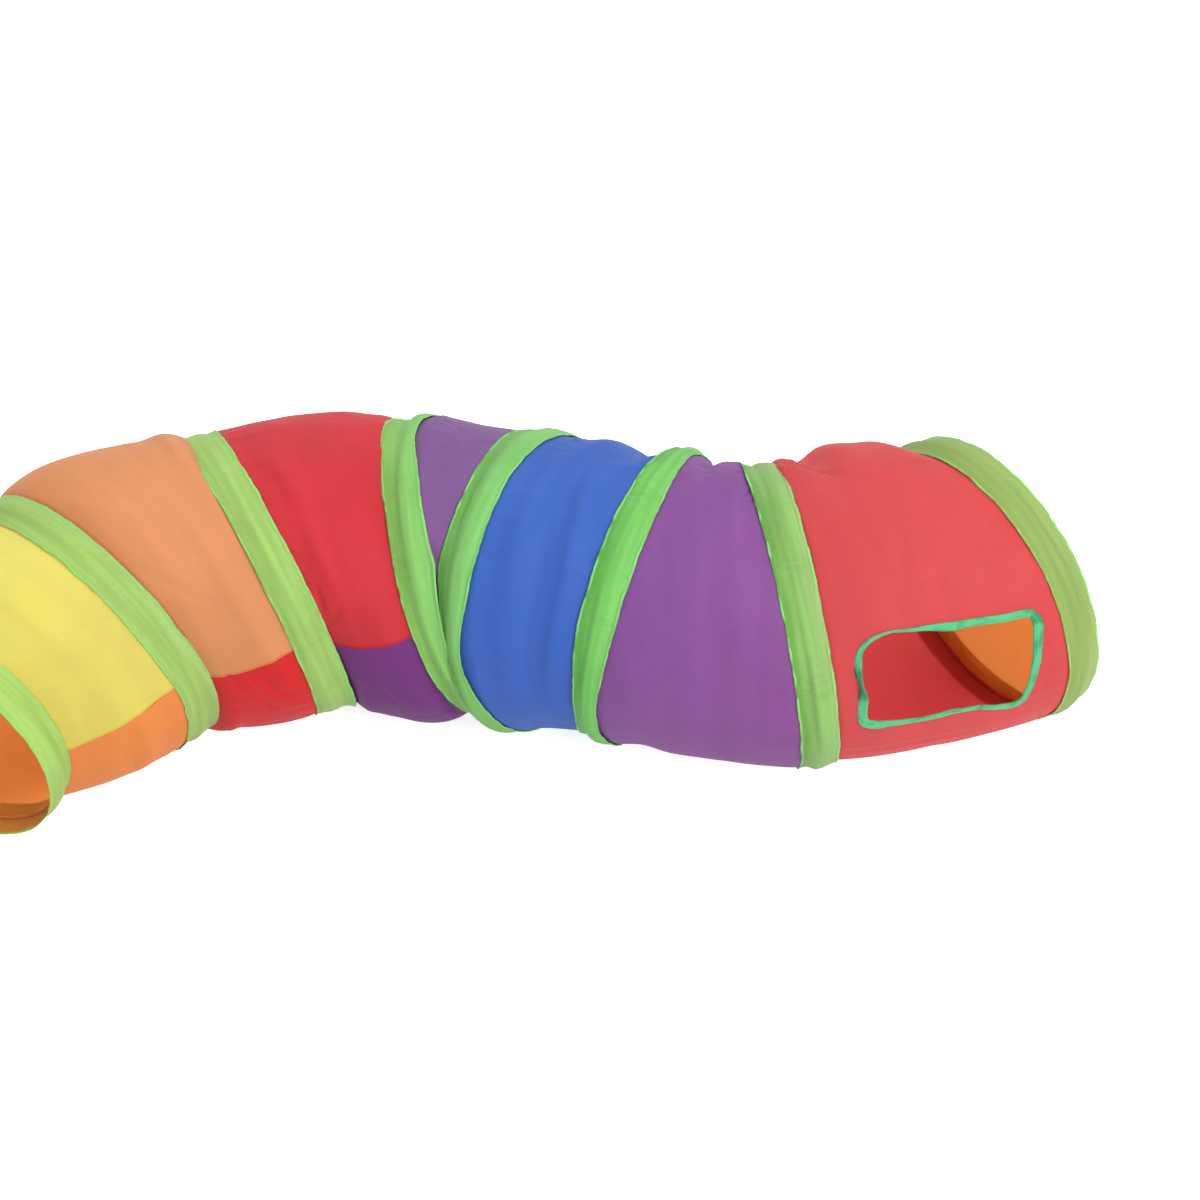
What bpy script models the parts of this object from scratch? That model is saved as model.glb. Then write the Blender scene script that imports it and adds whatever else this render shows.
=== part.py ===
# Collapsible cat tunnel: fabric sections between spring wire hoops, laid in an S.
# Metres, +Z up, +X along the tunnel, the viewer on the -Y side.
import math

import bmesh
import bpy
from mathutils import Matrix, Vector

# Sizes of one hoop, measured over and inside its green casing tape
HOOP_DIAMETER = 0.250
WIRE_DIAMETER = 0.0025
FERRULE_DIAMETER = 0.0045
FERRULE_LENGTH = 0.022
TAPE_WIDTH = 0.030
TAPE_THICKNESS = 0.0009
FABRIC_THICKNESS = 0.0008
CLEARANCE = 0.0003
FOOT_DEPTH = 0.0005
PINCH_REACH = 0.010

# Angles round a hoop are counted from its near side, upwards, in degrees
FERRULE_ANGLE = 152.0
ROUND_STEPS = 32

# Peephole in the last section
WINDOW_LENGTH = 0.155
WINDOW_HEIGHT = 0.098
WINDOW_RADIUS = 0.022
WINDOW_PLACE = 0.505
WINDOW_ANGLE = 14.0
BINDING_WIDTH = 0.006
BINDING_THICKNESS = 0.0024
BINDING_SECTION = ((0.0, -0.5), (0.25, -1.0), (0.75, -1.0), (1.0, -0.5),
                   (1.0, 0.5), (0.75, 1.0), (0.25, 1.0), (0.0, 0.5))

# Where each hoop stands: x and y of its centre in metres, the way the tunnel
# runs through it (yaw) and how far its top leans back along that way (lean)
HOOP_STATIONS = (
    (-0.522, -0.119, 67.0, 1.5),
    (-0.404, -0.025, 50.0, 6.0),
    (-0.269, 0.030, 27.5, 9.0),
    (-0.117, 0.043, 0.5, 17.5),
    (-0.055, 0.023, -25.5, 14.0),
    (0.037, 0.005, -23.5, 0.5),
    (0.148, -0.016, 10.0, 5.5),
    (0.306, 0.022, 35.5, 1.0),
)
ROOT_HOOP = 4

# Colour of the fabric above and below the lengthwise seams, the height of those
# seams in degrees, and how far the cloth swells out between its hoops
SECTIONS = (
    ("yellow", "orange", 8.0, 0.004),
    ("orange", "red", 14.5, 0.012),
    ("red", "purple", 19.0, 0.012),
    ("purple", "purple", 0.0, 0.002),
    ("blue", "blue", 0.0, 0.000),
    ("purple", "purple", 0.0, 0.005),
    ("red", "red", 0.0, 0.007),
)
COLOURS = {
    "yellow": (0.87, 0.77, 0.10),
    "orange": (0.83, 0.31, 0.10),
    "red": (0.69, 0.05, 0.07),
    "purple": (0.24, 0.10, 0.33),
    "blue": (0.05, 0.15, 0.60),
    "green": (0.27, 0.62, 0.16),
    "emerald": (0.07, 0.60, 0.22),
    "steel": (0.42, 0.43, 0.45),
    "brass": (0.62, 0.60, 0.55),
}

# Radii that follow from the sizes above, from the ridge of the tape inwards
ridge_radius = HOOP_DIAMETER / 2
arch_radius = ridge_radius - TAPE_THICKNESS
wire_radius = arch_radius - CLEARANCE - FERRULE_DIAMETER / 2
wing_radius = wire_radius - FERRULE_DIAMETER / 2
fabric_radius = wing_radius - CLEARANCE
half_tape = TAPE_WIDTH / 2
leg_foot = FERRULE_DIAMETER / 2 + 3.5 * CLEARANCE
leg_top = 0.66 * leg_foot
fold_pitch = TAPE_WIDTH + 2 * CLEARANCE


def clear_scene():
    for item in list(bpy.data.objects):
        bpy.data.objects.remove(item, do_unlink=True)


def new_collection(name):
    group = bpy.data.collections.new(name)
    bpy.context.scene.collection.children.link(group)
    return group


def make_material(name, colour, roughness, metallic=0.0):
    material = bpy.data.materials.new(name)
    material.use_nodes = True
    shader = material.node_tree.nodes["Principled BSDF"]
    shader.inputs["Base Color"].default_value = (*colour, 1.0)
    shader.inputs["Roughness"].default_value = roughness
    shader.inputs["Metallic"].default_value = metallic
    material.diffuse_color = (*colour, 1.0)
    return material


def hoop_matrix(station):
    # Local Z runs along the tunnel, local Y up the hoop, local X to its far side
    x, y, yaw, lean = station
    tilt = math.radians(lean)
    lean_in = math.sin(abs(tilt))
    reach = max(ridge_radius * math.cos(tilt) + (leg_top + TAPE_THICKNESS) * lean_in,
                (wing_radius + TAPE_THICKNESS) * math.cos(tilt) + half_tape * lean_in)
    axes = Matrix(((0, 0, 1, 0), (1, 0, 0, 0), (0, 1, 0, 0), (0, 0, 0, 1)))
    turn = Matrix.Rotation(math.radians(yaw), 4, 'Z') @ Matrix.Rotation(-tilt, 4, 'Y')
    return Matrix.Translation((x, y, reach - FOOT_DEPTH)) @ turn @ axes


def on_hoop(frame, radius, angle, along):
    return frame @ Vector((-radius * math.cos(angle), radius * math.sin(angle), along))


def facet_radius(radius, angle):
    # Every ring is a regular polygon: its radius shrinks between the corners
    half = math.pi / ROUND_STEPS
    return radius * math.cos(half) / math.cos(angle % (2 * half) - half)


def ring_angles(start, end):
    # Both ends of a stretch of hoop and the polygon's corners between them
    step = math.tau / ROUND_STEPS
    inner = [i * step for i in range(math.ceil(start / step), math.floor(end / step) + 1)]
    inner = [angle for angle in inner if start + 0.001 < angle < end - 0.001]
    return [start] + inner + [end]


def middle_plane(first, second):
    # Plane halfway between two neighbouring hoops
    point = (first.translation + second.translation) / 2
    normal = (first.col[2].xyz + second.col[2].xyz).normalized()
    return point, normal


def room_to_plane(frame, plane, angle, way):
    # Distance from a hoop's fabric line to the middle plane, along its own axis
    point, normal = plane
    start = on_hoop(frame, fabric_radius, angle, 0.0)
    return (point - start).dot(normal) / (frame.col[2].xyz * way).dot(normal)


def fold_axis(parent, child, way):
    # The one turn that lays the child hoop flat and centred against its parent
    goal = parent.translation + parent.col[2].xyz * fold_pitch * way
    start = child.translation
    before = child.col[2].xyz
    after = parent.col[2].xyz
    axis = (after - before).cross(goal - start).normalized()
    flat_before = before - axis * before.dot(axis)
    flat_after = after - axis * after.dot(axis)
    angle = math.atan2(flat_before.cross(flat_after).dot(axis), flat_before.dot(flat_after))
    if angle < 0:
        axis = -axis
        angle = -angle
    step = goal - start
    pivot = (start + goal) / 2 + axis.cross(step) / (2 * math.tan(angle / 2))
    return pivot, axis, angle


def add_object(name, data, group, material, parent, frame):
    item = bpy.data.objects.new(name, data)
    group.objects.link(item)
    if material is not None:
        data.materials.append(material)
    attach(item, parent, frame)
    return item


def attach(item, parent, frame):
    # World place of an object under its parent empty
    item.parent = parent
    item.matrix_parent_inverse = worldPlace[parent.name].inverted()
    item.matrix_basis = frame
    worldPlace[item.name] = frame.copy()


def add_empty(name, parent, frame):
    item = bpy.data.objects.new(name, None)
    item.empty_display_size = 0.03
    tunnelGroup.objects.link(item)
    if parent is None:
        item.matrix_basis = frame
        worldPlace[item.name] = frame.copy()
    else:
        attach(item, parent, frame)
    return item


def profile_mesh(name, points):
    # Open profile in the XZ plane, radius then height
    mesh = bpy.data.meshes.new(name)
    vertices = [(radius, 0.0, along) for radius, along in points]
    edges = [(i, i + 1) for i in range(len(points) - 1)]
    mesh.from_pydata(vertices, edges, [])
    return mesh


def turned_shell(name, points, thickness, group, material, parent, frame):
    # Profile turned once round the hoop's axis and given its thickness outwards
    item = add_object(name, profile_mesh(name, points), group, material, parent, frame)
    screw = item.modifiers.new("turn", 'SCREW')
    screw.axis = 'Z'
    screw.angle = math.tau
    screw.steps = ROUND_STEPS
    screw.render_steps = ROUND_STEPS
    screw.use_merge_vertices = True
    screw.merge_threshold = 0.00001
    screw.use_normal_calculate = True
    shell = item.modifiers.new("thickness", 'SOLIDIFY')
    shell.thickness = thickness
    shell.offset = 1.0
    shell.use_even_offset = True
    return item


def block(name, size, place):
    bpy.ops.mesh.primitive_cube_add(size=size)
    item = bpy.context.active_object
    item.name = name
    for group in list(item.users_collection):
        group.objects.unlink(item)
    cutterGroup.objects.link(item)
    item.hide_render = True
    item.display_type = 'WIRE'
    attach(item, originEmpty, place)
    return item


def cut(item, cutter):
    step = item.modifiers.new("cut_" + cutter.name, 'BOOLEAN')
    step.operation = 'DIFFERENCE'
    step.solver = 'EXACT'
    step.object = cutter
    return step


def arc_curve(name, radius, start, end, thickness, closed_ends):
    # Round wire along a stretch of the hoop, in the hoop's own plane
    curve = bpy.data.curves.new(name, 'CURVE')
    curve.dimensions = '3D'
    curve.bevel_depth = thickness / 2
    curve.bevel_resolution = 1
    curve.use_fill_caps = closed_ends
    angles = ring_angles(start, end)
    line = curve.splines.new('POLY')
    line.points.add(len(angles) - 1)
    for point, angle in zip(line.points, angles):
        reach = facet_radius(radius, angle)
        point.co = (-reach * math.cos(angle), reach * math.sin(angle), 0.0, 1.0)
    return curve


def hold_length(room):
    # How far the cloth follows a hoop before it leaves for the next one
    full = half_tape + 0.001
    return min(full, max(0.5 * room, 2 * room - full))


def tuck_in(point, first, second, inward):
    # Where two tapes pinch together the cloth folds inside both of them
    limit = fabric_radius * math.cos(math.pi / ROUND_STEPS) - CLEARANCE
    for _ in range(4):
        excess = 0.0
        for frame in (first, second):
            local = frame.inverted() @ point
            excess = max(excess, math.hypot(local.x, local.y) - limit)
        if excess > 0:
            point = point + inward * excess * 1.1
    return point


def panel_grid(first, second, start, end, swell, lead):
    # Rows of points from hoop to hoop: under both tapes the cloth follows the hoop,
    # and between them it runs over in a slight swell, resting on the floor below
    plane = middle_plane(first, second)
    rows = []
    for angle in ring_angles(start, end):
        reach = facet_radius(fabric_radius, angle)
        room_a = room_to_plane(first, plane, angle, 1)
        room_b = room_to_plane(second, plane, angle, -1)
        edge_a = on_hoop(first, reach, angle, hold_length(room_a))
        edge_b = on_hoop(second, reach, angle, -hold_length(room_b))
        outward = (on_hoop(first, 1.0, angle, 0.0) - first.translation
                   + on_hoop(second, 1.0, angle, 0.0) - second.translation).normalized()
        middle = (edge_a + edge_b) / 2 + outward * swell
        middle.z = max(middle.z, 2 * CLEARANCE)
        if min(room_a, room_b) < half_tape + PINCH_REACH:
            middle = tuck_in(middle, first, second, -outward)
        rows.append([on_hoop(first, reach, angle, lead), edge_a, middle, edge_b,
                     on_hoop(second, reach, angle, -CLEARANCE / 2)])
    return rows


def grid_mesh(name, rows, closed):
    # Open cloth surface through the rows, facing outwards
    shape = bmesh.new()
    if closed:
        rows = rows[:-1]
    lines = [[shape.verts.new(point) for point in row] for row in rows]
    count = len(lines)
    for i in range(count if closed else count - 1):
        here = lines[i]
        there = lines[(i + 1) % count]
        for j in range(len(here) - 1):
            shape.faces.new((here[j], here[j + 1], there[j + 1], there[j]))
    mesh = bpy.data.meshes.new(name)
    shape.to_mesh(mesh)
    shape.free()
    return mesh


def make_panel(name, rows, closed, material, parent):
    mesh = grid_mesh(name, rows, closed)
    item = add_object(name, mesh, tunnelGroup, material, parent, Matrix.Identity(4))
    shell = item.modifiers.new("thickness", 'SOLIDIFY')
    shell.thickness = FABRIC_THICKNESS
    shell.offset = -1.0
    return item


def rounded_outline(length, height, radius, corner_steps):
    # Rounded rectangle, anticlockwise, with unit vectors pointing inwards
    points = []
    centres = ((1, 1, 0), (-1, 1, 90), (-1, -1, 180), (1, -1, 270))
    for sx, sy, start in centres:
        for i in range(corner_steps + 1):
            turn = math.radians(start + 90 * i / corner_steps)
            x = sx * (length / 2 - radius) + radius * math.cos(turn)
            y = sy * (height / 2 - radius) + radius * math.sin(turn)
            points.append((x, y, -math.cos(turn), -math.sin(turn)))
    return points


def window_frame(first, second):
    # Tangent frame at the window's centre: X along the tunnel, Y up, Z outwards
    angle = math.radians(WINDOW_ANGLE)
    a = on_hoop(first, fabric_radius, angle, 0.0)
    b = on_hoop(second, fabric_radius, angle, 0.0)
    centre = a.lerp(b, WINDOW_PLACE)
    along = (b - a).normalized()
    outward = (on_hoop(first, 1.0, angle, 0.0) - first.translation
               + on_hoop(second, 1.0, angle, 0.0) - second.translation)
    outward = (outward - along * outward.dot(along)).normalized()
    up = outward.cross(along)
    frame = Matrix.Identity(4)
    frame.col[0].xyz = along
    frame.col[1].xyz = up
    frame.col[2].xyz = outward
    frame.translation = centre
    return frame


def surface_depth(frame, rows, x, y):
    # Height of the cloth over the window's tangent plane at a point of it
    height = HOOP_DIAMETER / 2
    origin = frame @ Vector((x, y, height))
    way = -frame.col[2].xyz
    best = None
    for i in range(len(rows) - 1):
        for j in range(len(rows[i]) - 1):
            corners = (rows[i][j], rows[i][j + 1], rows[i + 1][j + 1], rows[i + 1][j])
            for trio in ((0, 1, 2), (0, 2, 3)):
                hit = ray_on_triangle(origin, way, [corners[k] for k in trio])
                if hit is not None and (best is None or hit < best):
                    best = hit
    return height - (best if best is not None else height)


def ray_on_triangle(origin, way, trio):
    side_a = trio[1] - trio[0]
    side_b = trio[2] - trio[0]
    cross = way.cross(side_b)
    size = side_a.dot(cross)
    if abs(size) < 1e-12:
        return None
    offset = origin - trio[0]
    u = offset.dot(cross) / size
    turned = offset.cross(side_a)
    v = way.dot(turned) / size
    if u < -1e-6 or v < -1e-6 or u + v > 1 + 1e-6:
        return None
    return side_b.dot(turned) / size


clear_scene()
tunnelGroup = new_collection("cat_tunnel")
cutterGroup = new_collection("cutters")
worldPlace = {}
originEmpty = add_empty("tunnel_origin", None, Matrix.Identity(4))

fabric = {}
for colour in ("yellow", "orange", "red", "purple", "blue"):
    fabric[colour] = make_material(colour + "_polyester", COLOURS[colour], 0.75)
tapeMaterial = make_material("green_tape", COLOURS["green"], 0.7)
bindingMaterial = make_material("emerald_binding", COLOURS["emerald"], 0.65)
wireMaterial = make_material("spring_steel", COLOURS["steel"], 0.35, 1.0)
ferruleMaterial = make_material("plated_ferrule", COLOURS["brass"], 0.4, 1.0)

# Hoop frames, and the fold axis that carries each one on its neighbour
frames = [hoop_matrix(station) for station in HOOP_STATIONS]
hoopEmpty = {ROOT_HOOP: add_empty("hoop_%d" % ROOT_HOOP, originEmpty, frames[ROOT_HOOP])}
order = [(k + 1, k, -1) for k in range(ROOT_HOOP - 1, -1, -1)]
order += [(k - 1, k, 1) for k in range(ROOT_HOOP + 1, len(frames))]
for parentHoop, childHoop, way in order:
    pivot, axis, angle = fold_axis(frames[parentHoop], frames[childHoop], way)
    turn = axis.to_track_quat('Z', 'Y').to_matrix().to_4x4()
    section = max(parentHoop, childHoop)
    axisEmpty = add_empty("fold_axis_%d" % section, hoopEmpty[parentHoop],
                          Matrix.Translation(pivot) @ turn)
    axisEmpty["fold_degrees"] = math.degrees(angle)
    hoopEmpty[childHoop] = add_empty("hoop_%d" % childHoop, axisEmpty, frames[childHoop])

# Spring wire, its crimped ferrule and the casing tape of every hoop
tapeProfile = ((wing_radius, half_tape), (wing_radius, leg_foot), (arch_radius, leg_top),
               (arch_radius, -leg_top), (wing_radius, -leg_foot), (wing_radius, -half_tape))
wireGap = CLEARANCE / wire_radius
ferruleHalf = FERRULE_LENGTH / 2 / wire_radius
ferruleAngle = math.radians(FERRULE_ANGLE)
ferruleWall = (FERRULE_DIAMETER - WIRE_DIAMETER) / 2 - CLEARANCE
floorBlock = block("floor_cut", 2.0, Matrix.Translation((0.0, 0.0, -1.0)))
for k, frame in enumerate(frames):
    wire = add_object("hoop_wire_%d" % k,
                      arc_curve("hoop_wire_%d" % k, wire_radius, ferruleAngle + wireGap,
                                ferruleAngle - wireGap + math.tau, WIRE_DIAMETER, True),
                      tunnelGroup, wireMaterial, hoopEmpty[k], frame)
    ferrule = add_object("wire_ferrule_%d" % k,
                         arc_curve("wire_ferrule_%d" % k, wire_radius, ferruleAngle - ferruleHalf,
                                   ferruleAngle + ferruleHalf, FERRULE_DIAMETER, False),
                         tunnelGroup, ferruleMaterial, hoopEmpty[k], frame)
    wall = ferrule.modifiers.new("wall", 'SOLIDIFY')
    wall.thickness = ferruleWall
    wall.offset = -1.0
    tape = turned_shell("casing_tape_%d" % k, tapeProfile, TAPE_THICKNESS, tunnelGroup,
                        tapeMaterial, hoopEmpty[k], frame)
    cut(tape, floorBlock)

# Where two hoops pinch together, each tape ends at the plane between them
for k in range(len(frames) - 1):
    plane = middle_plane(frames[k], frames[k + 1])
    angles = [math.tau * i / ROUND_STEPS for i in range(ROUND_STEPS)]
    least = min(min(room_to_plane(frames[k], plane, a, 1) for a in angles),
                min(room_to_plane(frames[k + 1], plane, a, -1) for a in angles))
    if least > half_tape + CLEARANCE:
        continue
    facing = plane[1].to_track_quat('Z', 'Y').to_matrix().to_4x4()
    size = 2 * HOOP_DIAMETER
    for hoop, way in ((k, 1), (k + 1, -1)):
        middle = plane[0] + plane[1] * way * (size / 2 - CLEARANCE / 2)
        pinch = block("pinch_cut_%d" % hoop, size, Matrix.Translation(middle) @ facing)
        cut(bpy.data.objects["casing_tape_%d" % hoop], pinch)

# Fabric of each section, in two panels where the colour changes at the seams
seamGap = CLEARANCE / 2 / fabric_radius
lastRows = None
for k, (upper, lower, seamHeight, swell) in enumerate(SECTIONS):
    seam = math.radians(seamHeight)
    first = frames[k]
    second = frames[k + 1]
    lead = CLEARANCE / 2 if k > 0 else -half_tape + 0.001
    parent = hoopEmpty[k + 1] if k + 1 <= ROOT_HOOP else hoopEmpty[k]
    if upper == lower:
        rows = panel_grid(first, second, 0.0, math.tau, swell, lead)
        make_panel("panel_%d" % (k + 1), rows, True, fabric[upper], parent)
        lastRows = rows
        continue
    top = panel_grid(first, second, seam + seamGap, math.pi - seam - seamGap, swell, lead)
    bottom = panel_grid(first, second, math.pi - seam + seamGap, math.tau + seam - seamGap,
                        swell, lead)
    make_panel("panel_%d_upper" % (k + 1), top, False, fabric[upper], parent)
    make_panel("panel_%d_lower" % (k + 1), bottom, False, fabric[lower], parent)

# Peephole: an opening through the last section and the binding sewn in its rim
lastHoop = len(frames) - 1
holeFrame = window_frame(frames[lastHoop - 1], frames[lastHoop])
outline = rounded_outline(WINDOW_LENGTH, WINDOW_HEIGHT, WINDOW_RADIUS, 6)
flat = bpy.data.curves.new("window_cut", 'CURVE')
flat.dimensions = '2D'
flat.fill_mode = 'BOTH'
flat.extrude = 0.8 * WINDOW_HEIGHT
line = flat.splines.new('POLY')
line.points.add(len(outline) - 1)
line.use_cyclic_u = True
for point, (x, y, _, _) in zip(line.points, outline):
    point.co = (x, y, 0.0, 1.0)
flatItem = bpy.data.objects.new("window_outline", flat)
cutterGroup.objects.link(flatItem)
bpy.context.view_layer.update()
solid = bpy.data.meshes.new_from_object(flatItem.evaluated_get(bpy.context.evaluated_depsgraph_get()))
bpy.data.objects.remove(flatItem, do_unlink=True)
welded = bmesh.new()
welded.from_mesh(solid)
bmesh.ops.remove_doubles(welded, verts=welded.verts, dist=0.00001)
bmesh.ops.recalc_face_normals(welded, faces=welded.faces)
welded.to_mesh(solid)
welded.free()
holeCutter = bpy.data.objects.new("window_cut", solid)
cutterGroup.objects.link(holeCutter)
holeCutter.hide_render = True
holeCutter.display_type = 'WIRE'
attach(holeCutter, originEmpty, holeFrame @ Matrix.Translation((0.0, 0.0, 0.2 * WINDOW_HEIGHT)))
lastPanel = bpy.data.objects["panel_%d" % lastHoop]
cut(lastPanel, holeCutter)

ring = bmesh.new()
loops = []
for x, y, inX, inY in outline:
    depth = surface_depth(holeFrame, lastRows, x + inX * BINDING_WIDTH / 2, y + inY * BINDING_WIDTH / 2)
    depth -= FABRIC_THICKNESS / 2
    loop = []
    for inward, rise in BINDING_SECTION:
        step = CLEARANCE + inward * BINDING_WIDTH
        loop.append(ring.verts.new((x + inX * step, y + inY * step,
                                    depth + rise * BINDING_THICKNESS / 2)))
    loops.append(loop)
for i, loop in enumerate(loops):
    after = loops[(i + 1) % len(loops)]
    for j in range(len(loop)):
        nextJ = (j + 1) % len(loop)
        ring.faces.new((loop[j], loop[nextJ], after[nextJ], after[j]))
bmesh.ops.recalc_face_normals(ring, faces=ring.faces)
ringMesh = bpy.data.meshes.new("window_binding")
ring.to_mesh(ringMesh)
ring.free()
add_object("window_binding", ringMesh, tunnelGroup, bindingMaterial,
           hoopEmpty[lastHoop - 1], holeFrame)

# End panel sewn into the last tape, a shallow dish of cloth
dishDepth = half_tape - 0.001
dishProfile = ((0.0, dishDepth - FABRIC_THICKNESS),
               (fabric_radius - FABRIC_THICKNESS, dishDepth - FABRIC_THICKNESS),
               (fabric_radius - FABRIC_THICKNESS, CLEARANCE / 2))
turned_shell("end_panel", dishProfile, FABRIC_THICKNESS, tunnelGroup, fabric["orange"],
             hoopEmpty[lastHoop], frames[lastHoop])

# The whole tunnel is set over the origin, centred on its outer box
bpy.context.view_layer.update()
graph = bpy.context.evaluated_depsgraph_get()
low = Vector((1e9, 1e9, 1e9))
high = -low
for item in tunnelGroup.objects:
    if item.type == 'EMPTY':
        continue
    shape = item.evaluated_get(graph)
    mesh = shape.to_mesh()
    for vertex in mesh.vertices:
        point = item.matrix_world @ vertex.co
        low = Vector(map(min, low, point))
        high = Vector(map(max, high, point))
    shape.to_mesh_clear()
originEmpty.location = (-(low.x + high.x) / 2, -(low.y + high.y) / 2, -low.z)

for item in tunnelGroup.objects:
    if item.type == 'MESH':
        item.data.shade_smooth()
        item.data.set_sharp_from_angle(angle=math.radians(40))
bpy.context.view_layer.update()
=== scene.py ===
# Cat tunnel of coloured cloth on eight wire hoops, laid in an S on a pale floor.
# Metres, +Z up. Angles round a hoop start at its near side and go up over the top.
import math
import bmesh
import bpy
import numpy as np
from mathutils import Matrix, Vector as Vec


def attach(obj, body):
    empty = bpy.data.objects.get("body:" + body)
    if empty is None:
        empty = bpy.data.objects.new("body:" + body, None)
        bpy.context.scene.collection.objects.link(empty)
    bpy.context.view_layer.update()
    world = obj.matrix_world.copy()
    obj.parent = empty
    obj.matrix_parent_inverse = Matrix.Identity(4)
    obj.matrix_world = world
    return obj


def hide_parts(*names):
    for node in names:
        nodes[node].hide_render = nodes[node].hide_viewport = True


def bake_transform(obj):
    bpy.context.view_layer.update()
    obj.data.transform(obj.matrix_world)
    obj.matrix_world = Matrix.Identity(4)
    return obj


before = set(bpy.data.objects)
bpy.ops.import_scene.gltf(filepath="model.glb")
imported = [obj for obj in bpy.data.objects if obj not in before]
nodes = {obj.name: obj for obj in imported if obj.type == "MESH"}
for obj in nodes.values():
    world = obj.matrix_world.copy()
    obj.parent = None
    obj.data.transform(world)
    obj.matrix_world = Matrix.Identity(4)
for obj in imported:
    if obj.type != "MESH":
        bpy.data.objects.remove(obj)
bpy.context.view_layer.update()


def addObject(name, data):
    item = bpy.data.objects.new(name, data)
    bpy.context.scene.collection.objects.link(item)
    return item


# View of the photograph: from the front, well above the tunnel
viewSettings = {
    "target": (0.1252, 0.0059, 0.125),
    "distance": 2.279,
    "elevation": 50.0,
    "lens": 85.86,
}


def makeCamera(settings):
    tilt = math.radians(settings["elevation"])
    data = bpy.data.cameras.new("photoCamera")
    data.lens = settings["lens"]
    data.sensor_width = 36.0
    data.clip_end = 50.0
    camera = addObject("photoCamera", data)
    x, y, z = settings["target"]
    camera.location = (x, y - settings["distance"] * math.cos(tilt),
                       z + settings["distance"] * math.sin(tilt))
    camera.rotation_euler = (math.pi / 2 - tilt, 0.0, 0.0)
    bpy.context.scene.camera = camera


makeCamera(viewSettings)
print("camera set")


# Hoops: centre, way along the tunnel, near side and top, read from the wires
hoopSettings = {
    "count": 8,
    "clothRadius": 0.1189,
    "tapeHalf": 0.015,
    "pastTape": 0.001,      # the cloth follows a hoop a little past its tape
    "meeting": 0.00015,     # half the gap between two sections' cloth under a tape
}
clothRadius, tapeHalf = hoopSettings["clothRadius"], hoopSettings["tapeHalf"]


def unit(v):
    return v / np.linalg.norm(v, axis=-1, keepdims=True)


def nodePoints(name):
    mesh = nodes[name].data
    co = np.empty(len(mesh.vertices) * 3)
    mesh.vertices.foreach_get("co", co)
    return co.reshape(-1, 3)


def readHoop(index):
    points = nodePoints("hoop_wire_%d" % index)
    middle = points.mean(axis=0)
    flat = np.linalg.svd(points - middle)[2]
    across = (points - middle) @ flat[:2].T
    rows = np.c_[2 * across, np.ones(len(across))]
    fit = np.linalg.lstsq(rows, (across ** 2).sum(axis=1), rcond=None)[0]
    return {"centre": middle + fit[0] * flat[0] + fit[1] * flat[1], "way": flat[2]}


def readHoops(count):
    found = [readHoop(i) for i in range(count)]
    for i, hoop in enumerate(found):
        ahead = found[min(i + 1, count - 1)]["centre"] - found[max(i - 1, 0)]["centre"]
        if hoop["way"] @ ahead < 0:
            hoop["way"] = -hoop["way"]
        rise = np.array((0.0, 0.0, 1.0))
        hoop["up"] = unit(rise - hoop["way"] * hoop["way"][2])
        hoop["near"] = np.cross(hoop["way"], hoop["up"])
    return found


hoops = readHoops(hoopSettings["count"])


def hoopSide(hoop, angle):
    return np.cos(angle)[..., None] * hoop["near"] + np.sin(angle)[..., None] * hoop["up"]


def hoopPoint(hoop, radius, angle, along):
    radius, angle, along = np.broadcast_arrays(radius, angle, along)
    return hoop["centre"] + radius[..., None] * hoopSide(hoop, angle) + along[..., None] * hoop["way"]


def halfwayPlane(first, second):
    return ((first["centre"] + second["centre"]) / 2, unit(first["way"] + second["way"]))


def roomTo(hoop, plane, radius, angle, way):
    # Distance from a hoop's cloth or tape to the plane halfway to its neighbour
    start = hoopPoint(hoop, radius, angle, 0.0)
    return ((plane[0] - start) @ plane[1]) / (way * hoop["way"] @ plane[1])


def holdLength(room):
    # How far the cloth follows a hoop before it leaves for the next one
    full = tapeHalf + hoopSettings["pastTape"]
    return np.minimum(full, np.maximum(0.5 * room, 2 * room - full))


# Soft random waves for wrinkles: smooth values between -1 and 1 on a lattice
def softNoise(x, y, seed):
    table = np.random.default_rng(seed).uniform(-1.0, 1.0, (64, 64))
    x, y = np.broadcast_arrays(np.asarray(x, float), np.asarray(y, float))
    ix, iy = np.floor(x).astype(int), np.floor(y).astype(int)
    fx, fy = x - ix, y - iy
    fx, fy = fx * fx * (3 - 2 * fx), fy * fy * (3 - 2 * fy)
    a, b = table[ix % 64, iy % 64], table[(ix + 1) % 64, iy % 64]
    c, d = table[ix % 64, (iy + 1) % 64], table[(ix + 1) % 64, (iy + 1) % 64]
    return (a * (1 - fx) + b * fx) * (1 - fy) + (c * (1 - fx) + d * fx) * fy


def bell(distance, width):
    return np.exp(-(distance / width) ** 2)


def wrapped(angle):
    return (angle + math.pi) % math.tau - math.pi


def aroundGap(angle, degrees):
    # Signed difference of an angle and a place round the hoop, in radians
    return wrapped(angle - math.radians(degrees))


def beside(angle, degrees, reach):
    # One at a place round the hoop, falling off within a reach in degrees
    return bell(aroundGap(angle, degrees), math.radians(reach))


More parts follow.
